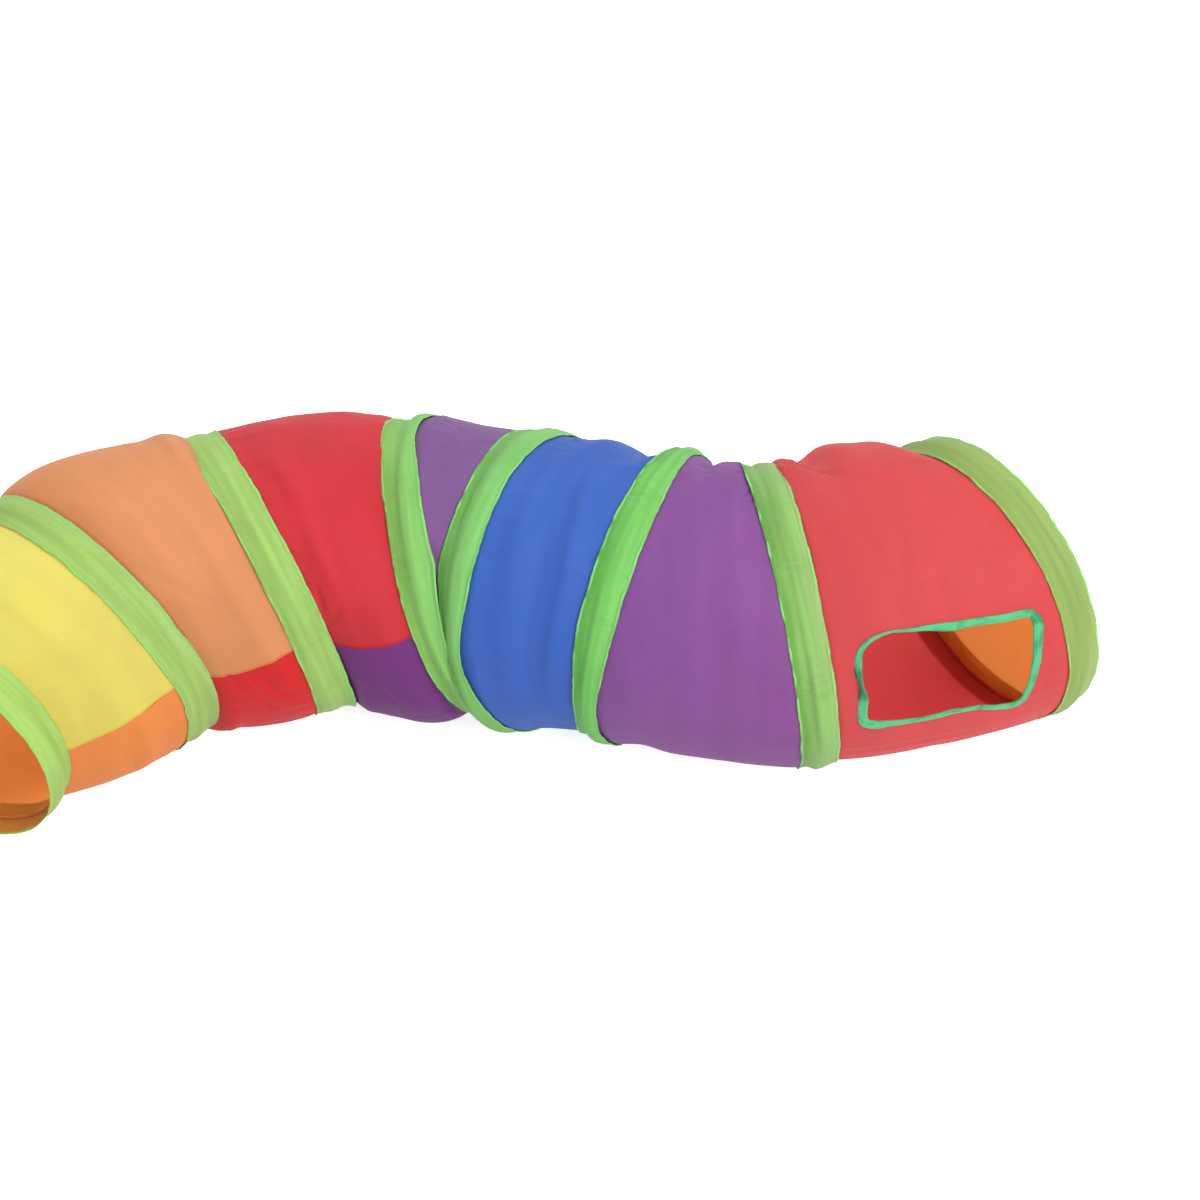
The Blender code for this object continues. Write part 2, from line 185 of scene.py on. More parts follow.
# The cloth between two hoops, as a surface of t along and angle round.
# t runs -1 to 0 under the first tape, 0 to 1 in the open, 1 to 2 under the second.
clothSettings = {
    "around": 420,
    "along": 84,
    "under": 6,
    "floor": 0.0006,
    "foldDrift": (0.05, 40),    # how far a fold strays in t, and its pitch in degrees
    "puff": 0.0014,
    "puffReach": 0.006,
    "puckerDepth": 0.0012,
    "puckerPitch": 0.0070,
    "puckerReach": 0.010,
    "welt": 0.0007,         # the raised seam between two panels
    "weltWidth": 0.0017,
    "waver": 0.0006,
    "wavers": ((0.035, 0.050, 1.0), (0.015, 0.022, 0.5)),    # pitch along, pitch round, share
    "tightRoom": 0.006,     # nearer than this past a tape, the cloth is held inside both hoops
    "tightFade": 0.012,
    "insideHoop": 0.0005,
    "tightRounds": 6,
    "tightPull": 1.05,
    # How far the cloth follows a hoop as it folds, where the rule would pull it out of the tape
    "foldMargin": {2: -0.004, 3: 0.020},
}


def swellRound(values, angle):
    # Smooth round value from four: low near side, front, high far side, underside
    low, front, high, under = values
    turn = angle + math.radians(40)
    return ((low + front + high + under) / 4 + (low - high) / 2 * np.cos(turn)
            + (front - under) / 2 * np.sin(turn)
            + (low - front + high - under) / 4 * np.cos(2 * turn))


def seamAngle(section, t):
    # The seam on the near side, in radians; the one on the far side mirrors it
    first, second = section["seam"]
    return np.radians(first + (second - first) * np.clip(t, 0.0, 1.0))


def clothLift(section, t, angle, length):
    s = np.clip(t, 0.0, 1.0)
    settings = clothSettings
    lift = swellRound(section["swell"], angle) * np.sin(math.pi * s ** section.get("skew", 1.0)) ** 0.8
    share, pitch = settings["foldDrift"]
    drift = share * softNoise(np.degrees(angle) / pitch, 0.5, section["seed"] + 3)
    for place, degrees, reach, width, height in section["folds"]:
        # Soft folds that lie the way of the hoops
        shape = bell(s - place - drift, width) * beside(angle, degrees, reach)
        lift = lift + height * shape * np.sin(math.pi * s) ** 0.5
    for first, second, width, depth in section["creases"]:
        # Sharp creases from one (t, degrees) to another
        ax = first[0] * length
        bx = second[0] * length - ax
        by = math.radians(second[1] - first[1]) * clothRadius
        px, py = s * length - ax, aroundGap(angle, first[1]) * clothRadius
        part = np.clip((px * bx + py * by) / (bx ** 2 + by ** 2), 0.0, 1.0)
        off = np.hypot(px - part * bx, py - part * by)
        ends = np.sin(math.pi * np.clip(part, 0.02, 0.98)) ** 0.5
        lift = lift - depth * ends * (bell(off, width) - 0.5 * bell(off, 2.6 * width))
    # Gathers where the cloth is sewn under the tapes
    run = angle * clothRadius
    puff, hold = section.get("puff", settings["puff"]), settings["puckerReach"]
    gathers = 0.0
    for away, row in ((s * length, 0.3), ((1 - s) * length, 9.3)):
        ripple = 0.5 + 0.5 * softNoise(run / settings["puckerPitch"], row, section["seed"])
        gathers = gathers + ripple * away / hold * np.exp(1 - away / hold)
        puff = puff * (1 - np.exp(-away / settings["puffReach"]))
    lift = lift + puff - settings["puckerDepth"] * gathers
    if "seam" in section:
        nearSeam = seamAngle(section, s)
        for sewn in (nearSeam, math.pi - nearSeam):
            gap = wrapped(angle - sewn) * clothRadius
            lift = lift + settings["welt"] * bell(gap, settings["weltWidth"])
    wave = 0.0
    for k, (along, around, share) in enumerate(settings["wavers"]):
        wave = wave + share * softNoise(s * length / along, run / around, section["seed"] + 7 + k)
    return lift + settings["waver"] * wave * np.sin(math.pi * s)


def clothSurface(section, t, angle):
    t, angle = np.broadcast_arrays(np.asarray(t, float), np.asarray(angle, float))
    first, second = hoops[section["first"]], hoops[section["first"] + 1]
    plane = halfwayPlane(first, second)
    roomA = roomTo(first, plane, clothRadius, angle, 1)
    roomB = roomTo(second, plane, clothRadius, angle, -1)
    holds = [holdLength(roomA), holdLength(roomB)]
    for end, degrees, reach, less in section.get("early", ()):
        # Here the cloth leaves the hoop sooner, under a slack tape
        holds[end] = holds[end] - less * beside(angle, degrees, reach)
    holdA, holdB = holds
    start = hoopPoint(first, clothRadius, angle, holdA)
    end = hoopPoint(second, clothRadius, angle, -holdB)
    length = np.linalg.norm(end - start, axis=-1)
    outward = unit(hoopSide(first, angle) + hoopSide(second, angle))
    s = np.clip(t, 0.0, 1.0)
    # Under the tapes the cloth ends in the middle, or a little further where it would pull out
    degrees, reach, more = section.get("tuck", (0, 1, 0.0))
    tuck = more * beside(angle, degrees, reach)
    lead = section.get("lead", hoopSettings["meeting"]) - tuck
    tail = tuck - hoopSettings["meeting"]
    under = holdA + (lead - holdA) * np.clip(-t, 0.0, 1.0)
    points = np.where(t[..., None] < 0, hoopPoint(first, clothRadius, angle, under),
                      start + (end - start) * s[..., None])
    under = -holdB + (holdB + tail) * np.clip(t - 1.0, 0.0, 1.0)
    points = np.where(t[..., None] > 1, hoopPoint(second, clothRadius, angle, under), points)
    points = points + outward * clothLift(section, t, angle, length)[..., None]
    settings = clothSettings
    room = np.minimum(roomA, roomB) - tapeHalf
    tight = np.clip((settings["tightRoom"] - room) / settings["tightFade"], 0.0, 1.0)
    tight = np.where((t > 0) & (t < 1), tight * tight * (3 - 2 * tight), 0.0)
    if (tight > 0).any():
        for _ in range(settings["tightRounds"]):
            excess = np.zeros(t.shape)
            for hoop in (first, second):
                offset = points - hoop["centre"]
                offset = offset - (offset @ hoop["way"])[..., None] * hoop["way"]
                past = np.linalg.norm(offset, axis=-1) - clothRadius + settings["insideHoop"]
                excess = np.maximum(excess, past)
            points = points - outward * (excess * tight * settings["tightPull"])[..., None]
    points[..., 2] = np.maximum(points[..., 2], settings["floor"])
    return points


def gridObject(name, points, uv, material, closed=True, faceMask=None):
    # Mesh through rows (first axis, round the hoop) and columns (second axis, along)
    columns = points.shape[1]
    uv = np.stack(np.broadcast_arrays(*uv), axis=-1)
    if closed:
        points = points[:-1]
    count = len(points)
    index = np.arange(count * columns).reshape(count, columns)
    ahead = np.roll(index, -1, axis=0) if closed else index[1:]
    here = index if closed else index[:-1]
    faces = np.stack([here[:, :-1], here[:, 1:], ahead[:, 1:], ahead[:, :-1]], axis=-1)
    spots = np.stack([uv[:-1, :-1], uv[:-1, 1:], uv[1:, 1:], uv[1:, :-1]], axis=2)
    faces, spots = faces.reshape(-1, 4), spots.reshape(-1, 4, 2)
    if faceMask is not None:
        keep = faceMask.reshape(-1)
        faces, spots = faces[keep], spots[keep]
    mesh = bpy.data.meshes.new(name)
    mesh.from_pydata(points.reshape(-1, 3).tolist(), [], faces.tolist())
    layer = mesh.uv_layers.new(name="cloth")
    layer.data.foreach_set("uv", spots.reshape(-1).astype(np.float32))
    mesh.shade_smooth()
    mesh.materials.append(material)
    item = addObject(name, mesh)
    if faceMask is not None:
        loose = bmesh.new()
        loose.from_mesh(mesh)
        bmesh.ops.delete(loose, geom=[v for v in loose.verts if not v.link_faces], context='VERTS')
        loose.to_mesh(mesh)
        loose.free()
    return item


def thicken(item, thickness, offset=-1.0):
    wall = item.modifiers.new("clothThickness", 'SOLIDIFY')
    wall.thickness = thickness
    wall.offset = offset


def spreadSteps():
    under = np.linspace(-1.0, 0.0, clothSettings["under"])[:-1]
    free = 0.5 - 0.5 * np.cos(np.pi * np.linspace(0.0, 1.0, clothSettings["along"]))
    free = 0.5 * free + 0.5 * np.linspace(0.0, 1.0, clothSettings["along"])
    return np.concatenate([under, free, 1.0 + np.linspace(0.0, 1.0, clothSettings["under"])[1:]])


def bendBetween(item):
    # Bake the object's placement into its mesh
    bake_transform(item)


def makePanel(section, name, node, material, start, end):
    # start and end are the panel's edges in radians, one number or a row of them along t
    t = spreadSteps()
    start, end = np.broadcast_arrays(start, end, t)[:2]
    closed = bool(end[0] - start[0] > math.tau - 0.001)
    width = float((end - start).mean())
    steps = int(round(clothSettings["around"] * width / math.tau)) + 1
    share = np.linspace(0.0, 1.0, steps)[:, None]
    angles = start[None, :] + (end - start)[None, :] * share
    points = clothSurface(section, t[None, :], angles)
    distance = np.cumsum(np.linalg.norm(np.diff(points, axis=1), axis=-1), axis=1)
    distance = np.concatenate([np.zeros((steps, 1)), distance], axis=1)
    distance = distance - distance[:, -1:] / 2
    run = share * width * clothRadius
    mask = None
    if "window" in section:
        middleT = (t[:-1] + t[1:]) / 2
        middleA = (angles[:-1, :-1] + angles[1:, 1:]) / 2
        mask = ~insideWindow(section["window"], middleT[None, :], middleA)
    item = gridObject(name, points, (distance, run), material, closed, mask)
    bendBetween(item)
    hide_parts(node)
    return item


# Effects shared by the materials, as shader groups
def newGroup(name, inputs, outputs):
    # A group of plain values; only an input named Vector is a place
    group = bpy.data.node_groups.new(name, 'ShaderNodeTree')
    for label, value in inputs.items():
        kind = 'NodeSocketVector' if label == "Vector" else 'NodeSocketFloat'
        socket = group.interface.new_socket(name=label, in_out='INPUT', socket_type=kind)
        if value is not None:
            socket.default_value = value
    for label in outputs:
        group.interface.new_socket(name=label, in_out='OUTPUT', socket_type='NodeSocketFloat')
    result = group.nodes.new("NodeGroupOutput")
    return group, group.nodes.new("NodeGroupInput").outputs, result.inputs


def fill(inputs, given):
    # Inputs by name or number: a number, place or colour is set, anything else is linked
    for label, value in given.items():
        if isinstance(value, (int, float, tuple)):
            inputs[label].default_value = value
        else:
            value.id_data.links.new(value, inputs[label])


def treeOf(*values):
    # The tree of the first value that comes from a node
    return next(value.id_data for value in values if hasattr(value, "id_data"))


def newNode(tree, kind, **given):
    node = tree.nodes.new("ShaderNode" + kind)
    fill(node.inputs, given)
    return node


def splitNode(vector):
    return newNode(vector.id_data, "SeparateXYZ", Vector=vector).outputs


def mathNode(operation, *values):
    node = treeOf(*values).nodes.new("ShaderNodeMath")
    node.operation = operation
    fill(node.inputs, dict(enumerate(values)))
    return node.outputs[0]


def times(first, second):
    return mathNode('MULTIPLY', first, second)


def plusTimes(first, second, third):
    # first times second, plus third
    return mathNode('MULTIPLY_ADD', first, second, third)


def awayFrom(value, place):
    return mathNode('ABSOLUTE', mathNode('SUBTRACT', value, place))


def rangeNode(value, low, high, toLow=0.0, toHigh=1.0):
    node = value.id_data.nodes.new("ShaderNodeMapRange")
    node.interpolation_type = 'SMOOTHSTEP'
    fill(node.inputs, {"Value": value, "From Min": low, "From Max": high,
                       "To Min": toLow, "To Max": toHigh})
    return node.outputs["Result"]


def noiseNode(vector, scale, detail=2.0, **given):
    node = newNode(vector.id_data, "TexNoise", Vector=vector, Scale=scale, Detail=detail, **given)
    return node.outputs["Fac"]


def stretchNode(vector, scale):
    return newNode(vector.id_data, "Mapping", Vector=vector, Scale=scale).outputs["Vector"]


def mixNode(factor, first, second, blend='MIX'):
    node = treeOf(factor, first, second).nodes.new("ShaderNodeMix")
    node.data_type = 'RGBA'
    node.blend_type = blend
    for label, value in (("Factor", factor), ("A", first), ("B", second)):
        fill(node.inputs, {label: (*value, 1.0) if isinstance(value, tuple) else value})
    return node.outputs["Result"]


def weaveGroup():
    # Plain weave of threads that cross at right angles, with thick and thin places
    inputs = {"Vector": None, "Pitch": 0.0006, "Slub": 0.5}
    group, given, result = newGroup("plainWeave", inputs, ("Height", "Fleck"))
    parts = splitNode(given["Vector"])
    waves = []
    for label in ("X", "Y"):
        turns = mathNode('DIVIDE', parts[label], given["Pitch"])
        waves.append(mathNode('SINE', times(turns, math.pi)))
    over = mathNode('GREATER_THAN', times(waves[0], waves[1]), 0.0)
    warp = mathNode('ABSOLUTE', waves[0])
    weft = mathNode('ABSOLUTE', waves[1])
    under = mathNode('SUBTRACT', 1.0, over)
    crossing = mathNode('ADD', times(warp, over), times(weft, under))
    along = noiseNode(stretchNode(given["Vector"], (1500.0, 45.0, 1.0)), 1.0)
    across = noiseNode(stretchNode(given["Vector"], (45.0, 1500.0, 1.0)), 1.0)
    slub = times(mathNode('ADD', along, across), 0.5)
    shaped = plusTimes(slub, given["Slub"], times(crossing, 0.5))
    fill(result, {"Height": shaped, "Fleck": slub})
    return group


def toneGroup():
    # Broad cloudy changes of tone, as in thin dyed cloth
    group, given, result = newGroup("dyeTone", {"Vector": None, "Scale": 9.0}, ("Tone",))
    cloudy = noiseNode(given["Vector"], given["Scale"], 3.0, Distortion=0.6)
    fill(result, {"Tone": rangeNode(cloudy, 0.3, 0.7)})
    return group


def stitchGroup():
    # One row of stitches: Across is the distance from the row, Along runs with it
    inputs = {"Along": None, "Across": None, "Pitch": 0.0032, "Width": 0.00045}
    group, given, result = newGroup("stitchRow", inputs, ("Mask", "Height"))
    turns = mathNode('DIVIDE', given["Along"], given["Pitch"])
    place = awayFrom(mathNode('FRACT', turns), 0.5)
    lengthwise = rangeNode(place, 0.30, 0.42, 1.0, 0.0)
    side = mathNode('DIVIDE', mathNode('ABSOLUTE', given["Across"]), given["Width"])
    mask = times(lengthwise, rangeNode(side, 0.55, 1.0, 1.0, 0.0))
    dip = times(rangeNode(side, 0.0, 4.0, -1.0, 0.0), 0.4)
    fill(result, {"Mask": mask, "Height": mathNode('ADD', mask, dip)})
    return group


def crumpleGroup():
    # Fine creases left by folding, here and there
    group, given, result = newGroup("foldCreases", {"Vector": None, "Scale": 45.0}, ("Height", "Tone"))
    lines = []
    for shift in (0.0, 3.7):
        moved = newNode(group, "Mapping", Vector=given["Vector"], Location=(shift, shift, 0.0))
        waves = noiseNode(moved.outputs["Vector"], given["Scale"], 1.0, Distortion=0.9)
        lines.append(rangeNode(awayFrom(waves, 0.5), 0.0, 0.035, 1.0, 0.0))
    where = rangeNode(noiseNode(given["Vector"], 16.0, 1.0), 0.48, 0.62)
    crease = times(mathNode('MAXIMUM', lines[0], lines[1]), where)
    # Tone marks the creases; the materials lay painted shade or a painted highlight along them
    fill(result, {"Height": mathNode('SUBTRACT', 1.0, crease), "Tone": crease})
    return group


weave, tone, stitch, crumple = weaveGroup(), toneGroup(), stitchGroup(), crumpleGroup()


def placeGroup(group, **values):
    node = treeOf(*values.values()).nodes.new("ShaderNodeGroup")
    node.node_tree = group
    fill(node.inputs, values)
    return node.outputs


def startMaterial(name, rough, sheen):
    material = bpy.data.materials.new(name)
    material.use_nodes = True
    tree = material.node_tree
    shader = tree.nodes["Principled BSDF"]
    fill(shader.inputs, {"Roughness": rough, "Specular IOR Level": 0.2,
                         "Sheen Weight": sheen, "Sheen Roughness": 0.5})
    coordinates = tree.nodes.new("ShaderNodeTexCoord")
    return material, shader, coordinates.outputs["UV"], coordinates.outputs["Object"]


def startCloth(name, finish):
    # A cloth's material, with the weave, creases and streaks its colour and relief are made of
    material, _, uv, place = startMaterial(name, finish["rough"], finish["sheen"])
    pitch, slub = finish["weave"]
    stretch, scale = finish["creased"]
    woven = placeGroup(weave, Vector=uv, Pitch=pitch, Slub=slub)
    folded = placeGroup(crumple, Vector=stretchNode(uv, stretch), Scale=scale)
    streaks = noiseNode(stretchNode(uv, finish["streaks"]), 1.0)
    return material, uv, place, woven, folded, streaks


def finishCloth(material, shade, height, colour, finish):
    # Thin cloth lets a share of the light through, spread out and dyed
    tree = material.node_tree
    shader = tree.nodes["Principled BSDF"]
    fill(shader.inputs, {"Base Color": shade})
    addBump(shader, height, *finish["bump"])
    if finish["through"]:
        glow = newNode(tree, "BsdfTranslucent", Color=(*colour, 1.0))
        both = tree.nodes.new("ShaderNodeMixShader")
        fill(both.inputs, {0: finish["through"], 1: shader.outputs[0], 2: glow.outputs[0]})
        tree.links.new(both.outputs[0], tree.nodes["Material Output"].inputs["Surface"])
    material.diffuse_color = (*colour, 1.0)
    return material


def addStitches(shade, height, along, across, amounts):
    # Lay a row of stitches over a shade and a height: (share of the thread's colour, rise)
    share, thread, rise = amounts
    sewn = placeGroup(stitch, Along=along, Across=across)
    shade = mixNode(times(sewn["Mask"], share), shade, thread)
    return shade, plusTimes(sewn["Height"], rise, height)


def addBump(shader, height, strength, distance):
    node = newNode(height.id_data, "Bump", Strength=strength, Distance=distance, Height=height)
    fill(shader.inputs, {"Normal": node.outputs["Normal"]})


# Polyester of the panels. weave: pitch and slub; creased: stretch and scale of the creases;
# bump: strength and depth; through: the share of the light that comes through
polyesterFinish = {
    "rough": 0.56,
    "sheen": 0.06,
    "weave": (0.0006, 0.5),
    "creased": ((1.0, 1.0, 1.0), 38.0),
    "streaks": (60.0, 4.0, 1.0),
    "bump": (0.30, 0.00016),
    "through": 0.45,
    "fleck": 0.05,
    "cloud": 0.05,
    "streak": 0.07,
    "creases": 2.2,
    "hem": (0.0012, 0.0026),    # from the seam to where its folded edge ends
    "stitchIn": 0.0036,
}


def dye(red, green, blue):
    # A colour of the dye card, 0 to 255 on screen, as light
    return tuple(c / 12.92 if c <= 0.04045 else ((c + 0.055) / 1.055) ** 2.4
                 for c in (red / 255, green / 255, blue / 255))


def levelColour(colour, level):
    # A colour made lighter or darker by a value about one
    grey = newNode(level.id_data, "CombineColor", Red=level, Green=level, Blue=level)
    return mixNode(1.0, colour, grey.outputs[0], 'MULTIPLY')


def shadeOf(colour, factor):
    return tuple(min(1.0, channel * factor) for channel in colour)


def deeper(colour):
    # The same dye where the cloth lies double
    return tuple(channel ** 1.35 for channel in colour)


def polyesterMaterial(name, colour, seamRows=()):
    finish = polyesterFinish
    material, uv, place, woven, folded, streaks = startCloth(name, finish)
    clouds = placeGroup(tone, Vector=place, Scale=9.0)
    cloud, streak, fleck = finish["cloud"], finish["streak"] / 2, finish["fleck"] / 2
    base = mixNode(clouds["Tone"], shadeOf(colour, 1 - cloud), shadeOf(colour, 1 + cloud))
    light = rangeNode(streaks, 0.3, 0.7, 1 - streak, 1 + streak)
    flecked = rangeNode(woven["Fleck"], 0.3, 0.7, 1 - fleck, 1 + fleck)
    shade = levelColour(base, times(light, flecked))
    # Painted highlight along the fine creases
    shade = mixNode(times(folded["Tone"], 0.25), shade, shadeOf(colour, 1.12))
    height = plusTimes(folded["Height"], finish["creases"], woven["Height"])
    height = plusTimes(streaks, 2.0, height)
    for row, inward in seamRows:
        # The folded edge, in deeper colour, and a row of stitches beside it
        parts = splitNode(uv)
        fold = rangeNode(awayFrom(parts["Y"], row), *finish["hem"], 1.0, 0.0)
        shade = mixNode(times(fold, 0.9), shade, deeper(colour))
        across = mathNode('SUBTRACT', parts["Y"], row + inward * finish["stitchIn"])
        shade, height = addStitches(shade, height, parts["X"], across, (0.3, shadeOf(colour, 1.2), 2.0))
    return finishCloth(material, shade, height, colour, finish)


# Casing tape: deeper green at its left edge as painted shade, paler to the right as painted light, with a
# bright thin selvedge
tapeFinish = {
    "rough": 0.52,
    "sheen": 0.06,
    "weave": (0.0007, 0.6),
    "creased": ((0.5, 1.3, 1.0), 70.0),
    "streaks": (190.0, 9.0, 1.0),
    "bump": (0.4, 0.0002),
    "through": 0.40,
    "selvedge": dye(160, 240, 138),
    # Places across the tape, in metres from its middle line
    "leftTone": (-0.0125, -0.0030),
    "rightTone": (0.0030, 0.0120),
    "paintedGrooveShade": (0.0112, 0.0126),
    "lip": (0.0116, 0.0124),
    "bright": (0.0130, 0.0137),
    "stitchRow": 0.0122,
}


def tapeMaterial(name, left, middle, right, finish):
    material, uv, place, woven, folded, streaks = startCloth(name, finish)
    across, along = splitNode(uv)[:2]
    wander = noiseNode(stretchNode(uv, (35.0, 16.0, 1.0)), 1.0)
    clouds = placeGroup(tone, Vector=place, Scale=14.0)
    off = plusTimes(mathNode('SUBTRACT', wander, 0.5), 0.014, across)
    # Ramps from the left colour through the middle to the right; on the casing tapes the left holds
    # painted shade and the right painted light
    base = mixNode(rangeNode(off, *finish["leftTone"]), left, middle)
    base = mixNode(rangeNode(off, *finish["rightTone"]), base, right)
    base = mixNode(times(clouds["Tone"], 0.20), base, left)
    flecked = rangeNode(woven["Fleck"], 0.3, 0.7, 0.97, 1.03)
    shade = levelColour(base, times(rangeNode(streaks, 0.3, 0.7, 0.90, 1.08), flecked))
    # Painted shade along the fine creases
    shade = mixNode(times(folded["Tone"], 0.18), shade, shadeOf(left, 0.75))
    rim = mathNode('ABSOLUTE', across)
    # Random patches where the groove's painted shade and the selvedge break off
    shadeAndSelvedgePatches = noiseNode(stretchNode(uv, (30.0, 60.0, 1.0)), 1.0)
    patchy = rangeNode(shadeAndSelvedgePatches, 0.38, 0.58)
    # Painted shade in a groove inside each edge, beside the raised lip
    paintedGrooveShade = times(rangeNode(rim, *finish["paintedGrooveShade"]), patchy)
    shade = mixNode(times(paintedGrooveShade, 0.45), shade, shadeOf(left, 0.80))
    selvedge = times(rangeNode(rim, *finish["bright"]), patchy)
    shade = mixNode(selvedge, shade, finish["selvedge"])
    height = plusTimes(streaks, 2.0, woven["Height"])
    height = plusTimes(folded["Height"], 2.0, height)
    height = plusTimes(rangeNode(rim, *finish["lip"]), 2.0, height)
    for row in (-finish["stitchRow"], finish["stitchRow"]):
        aside = mathNode('SUBTRACT', across, row)
        shade, height = addStitches(shade, height, along, aside, (0.2, shadeOf(middle, 1.2), 1.5))
    return finishCloth(material, shade, height, middle, finish)


# Window binding: folded emerald tape
bindingFinish = {
    "rough": 0.5,
    "sheen": 0.06,
    "weave": (0.0006, 0.6),
    "creased": ((1.5, 0.5, 1.0), 80.0),
    "streaks": (60.0, 260.0, 1.0),
    "bump": (0.4, 0.0002),
    "through": 0.0,
    "colour": dye(75, 172, 116),
    # Darker green for random patches, and for painted shade in creases and shaded folds
    "dark": dye(42, 124, 80),
    "shadeReach": (0.017, 0.008, 0.002),    # half-length of each shaded fold
    "stitchRow": 0.0037,
}


def bindingMaterial(name, finish, shaded):
    material, uv, _, woven, folded, patches = startCloth(name, finish)
    along, across = splitNode(uv)[:2]
    dark = finish["dark"]
    shade = mixNode(rangeNode(patches, 0.45, 0.68, 0.0, 0.7), finish["colour"], dark)
    # Painted shade along the creases
    shade = mixNode(times(folded["Tone"], 0.4), shade, dark)
    ragged = plusTimes(mathNode('SUBTRACT', patches, 0.5), 0.012, along)
    # Painted shade over each fold that lies in its own shade
    for spot, reach in zip(shaded, finish["shadeReach"]):
        fold = rangeNode(awayFrom(ragged, spot), reach * 0.6, reach, 0.85, 0.0)
        shade = mixNode(fold, shade, dark)
    aside = mathNode('SUBTRACT', across, finish["stitchRow"])
    shade, height = addStitches(shade, woven["Height"], along, aside,
                                (0.4, shadeOf(finish["colour"], 1.2), 1.5))
    height = plusTimes(folded["Height"], 2.0, plusTimes(patches, 1.5, height))
    return finishCloth(material, shade, height, finish["colour"], finish)


def metalMaterial(name, colour, rough, grain):
    # Drawn or plated metal, with fine lines along it and dull patches
    material, shader, _, place = startMaterial(name, rough, 0.0)
    shader.inputs["Metallic"].default_value = 1.0
    drawn = stretchNode(place, (grain, grain, grain * 0.2))
    lines = noiseNode(drawn, 1.0, 4.0, Roughness=0.6)
    clouds = placeGroup(tone, Vector=place, Scale=60.0)
    fill(shader.inputs, {
        "Base Color": mixNode(clouds["Tone"], shadeOf(colour, 0.8), colour),
        "Roughness": rangeNode(clouds["Tone"], 0.0, 1.0, rough + 0.15, rough),
    })
    addBump(shader, lines, 0.3, 0.0001)
    material.diffuse_color = (*colour, 1.0)
    return material


# Wires and the ferrules that join their ends
metalFinish = {
    "wire": (dye(118, 122, 128), 0.32, 900.0),
    "ferrule": (dye(172, 166, 150), 0.38, 700.0),
}
wireSteel = metalMaterial("springSteel", *metalFinish["wire"])
ferrulePlate = metalMaterial("platedFerrule", *metalFinish["ferrule"])
for index in range(hoopSettings["count"]):
    nodes["hoop_wire_%d" % index].material_slots[0].material = wireSteel
    nodes["wire_ferrule_%d" % index].material_slots[0].material = ferrulePlate
print("wires finished")


# The seven sections. swell: how far the cloth stands out low, in front, high and underneath.
# folds: (t, degrees, reach in degrees, width in t, height); creases: from, to, width, depth
def fan(start, end, count, startStep, endStep, width, depth):
    # Creases side by side, not quite regular
    luck = np.random.default_rng(int(abs(start[1]) * 10 + count)).uniform(-1.0, 1.0, (count, 4))
    made = []
    for k, (a, b, c, d) in enumerate(luck):
        top = (start[0] + k * startStep[0], start[1] + (k + 0.35 * a) * startStep[1])
        foot = (end[0] + (k + 0.5 * b) * endStep[0], end[1] + (k + 0.4 * b) * endStep[1])
        made.append((top, foot, width * (1 + 0.3 * c), depth * (1 + 0.5 * d)))
    return tuple(made)


yellowSection = {
    "name": "yellowSection", "first": 0, "seam": (1.0, 15.0), "seed": 11, "lead": -0.0140,
    "colours": ("yellow", "mouthOrange"),
    "swell": (0.004, 0.003, 0.006, 0.000),
    "folds": ((0.45, 60, 90, 0.16, 0.002), (0.65, -15, 20, 0.08, 0.0025)),
    "creases": (((0.35, -4), (0.60, -30), 0.005, 0.0014),),
}
orangeSection = {
    "name": "orangeSection", "first": 1, "seam": (7.5, 19.5), "seed": 12, "skew": 0.80,
    "colours": ("orange", "deepRed"),
    "swell": (0.006, 0.009, 0.016, 0.001),
    "early": ((1, 130, 40, 0.010),),
    "folds": ((0.92, 130, 36, 0.12, 0.0160), (0.70, 60, 60, 0.10, 0.003),
              (0.08, -26, 26, 0.12, 0.0120)),
    "creases": (((0.15, 12), (0.60, -12), 0.003, 0.0022), ((0.45, 12), (0.85, -8), 0.004, 0.0022),
                ((0.86, 130), (0.90, 96), 0.006, -0.0020), ((0.80, 80), (0.84, 50), 0.010, -0.0018),
                ((0.05, 60), (0.40, 42), 0.006, 0.0016), ((0.12, 100), (0.50, 84), 0.008, 0.0014))
    + fan((0.20, 13), (0.30, -8), 4, (0.17, 0.0), (0.17, 0.5), 0.0022, 0.0011),
}
redSection = {
    "name": "redSection", "first": 2, "seam": (13.0, 24.0), "seed": 13, "skew": 1.35,
    "colours": ("red", "deepPurple"),
    "swell": (0.013, 0.008, 0.010, 0.001),
    "folds": ((0.25, 70, 50, 0.10, 0.002), (0.75, 110, 50, 0.10, 0.002), (0.93, 130, 22, 0.07, 0.0040),
              (0.20, -22, 26, 0.16, 0.0060), (0.07, -30, 26, 0.10, 0.0120)),
    "creases": (((0.14, 101), (0.43, 68), 0.010, -0.0018), ((0.05, 24), (0.30, 34), 0.0035, 0.0020),
                ((0.30, 16), (0.75, 2), 0.007, -0.0020), ((0.10, 8), (0.55, -14), 0.005, 0.0018))
    + fan((0.01, 23), (0.09, 27), 4, (0.0, 3.2), (0.01, 4.4), 0.0020, 0.0017)
    + fan((0.45, 128), (0.62, 122), 3, (0.10, 1.0), (0.10, -1.0), 0.0024, 0.0011),
}
wedgeSection = {
    "name": "wedgeSection", "first": 3, "seed": 14, "puff": 0.0003, "tuck": (15, 45, 0.005),
    "colours": ("wedgePurple",),
    "swell": (0.000, 0.001, -0.002, 0.001),
    "folds": (),
    "creases": fan((0.10, 126), (0.48, 112), 3, (0.02, -6.0), (0.02, -7.0), 0.0026, 0.0012),
}
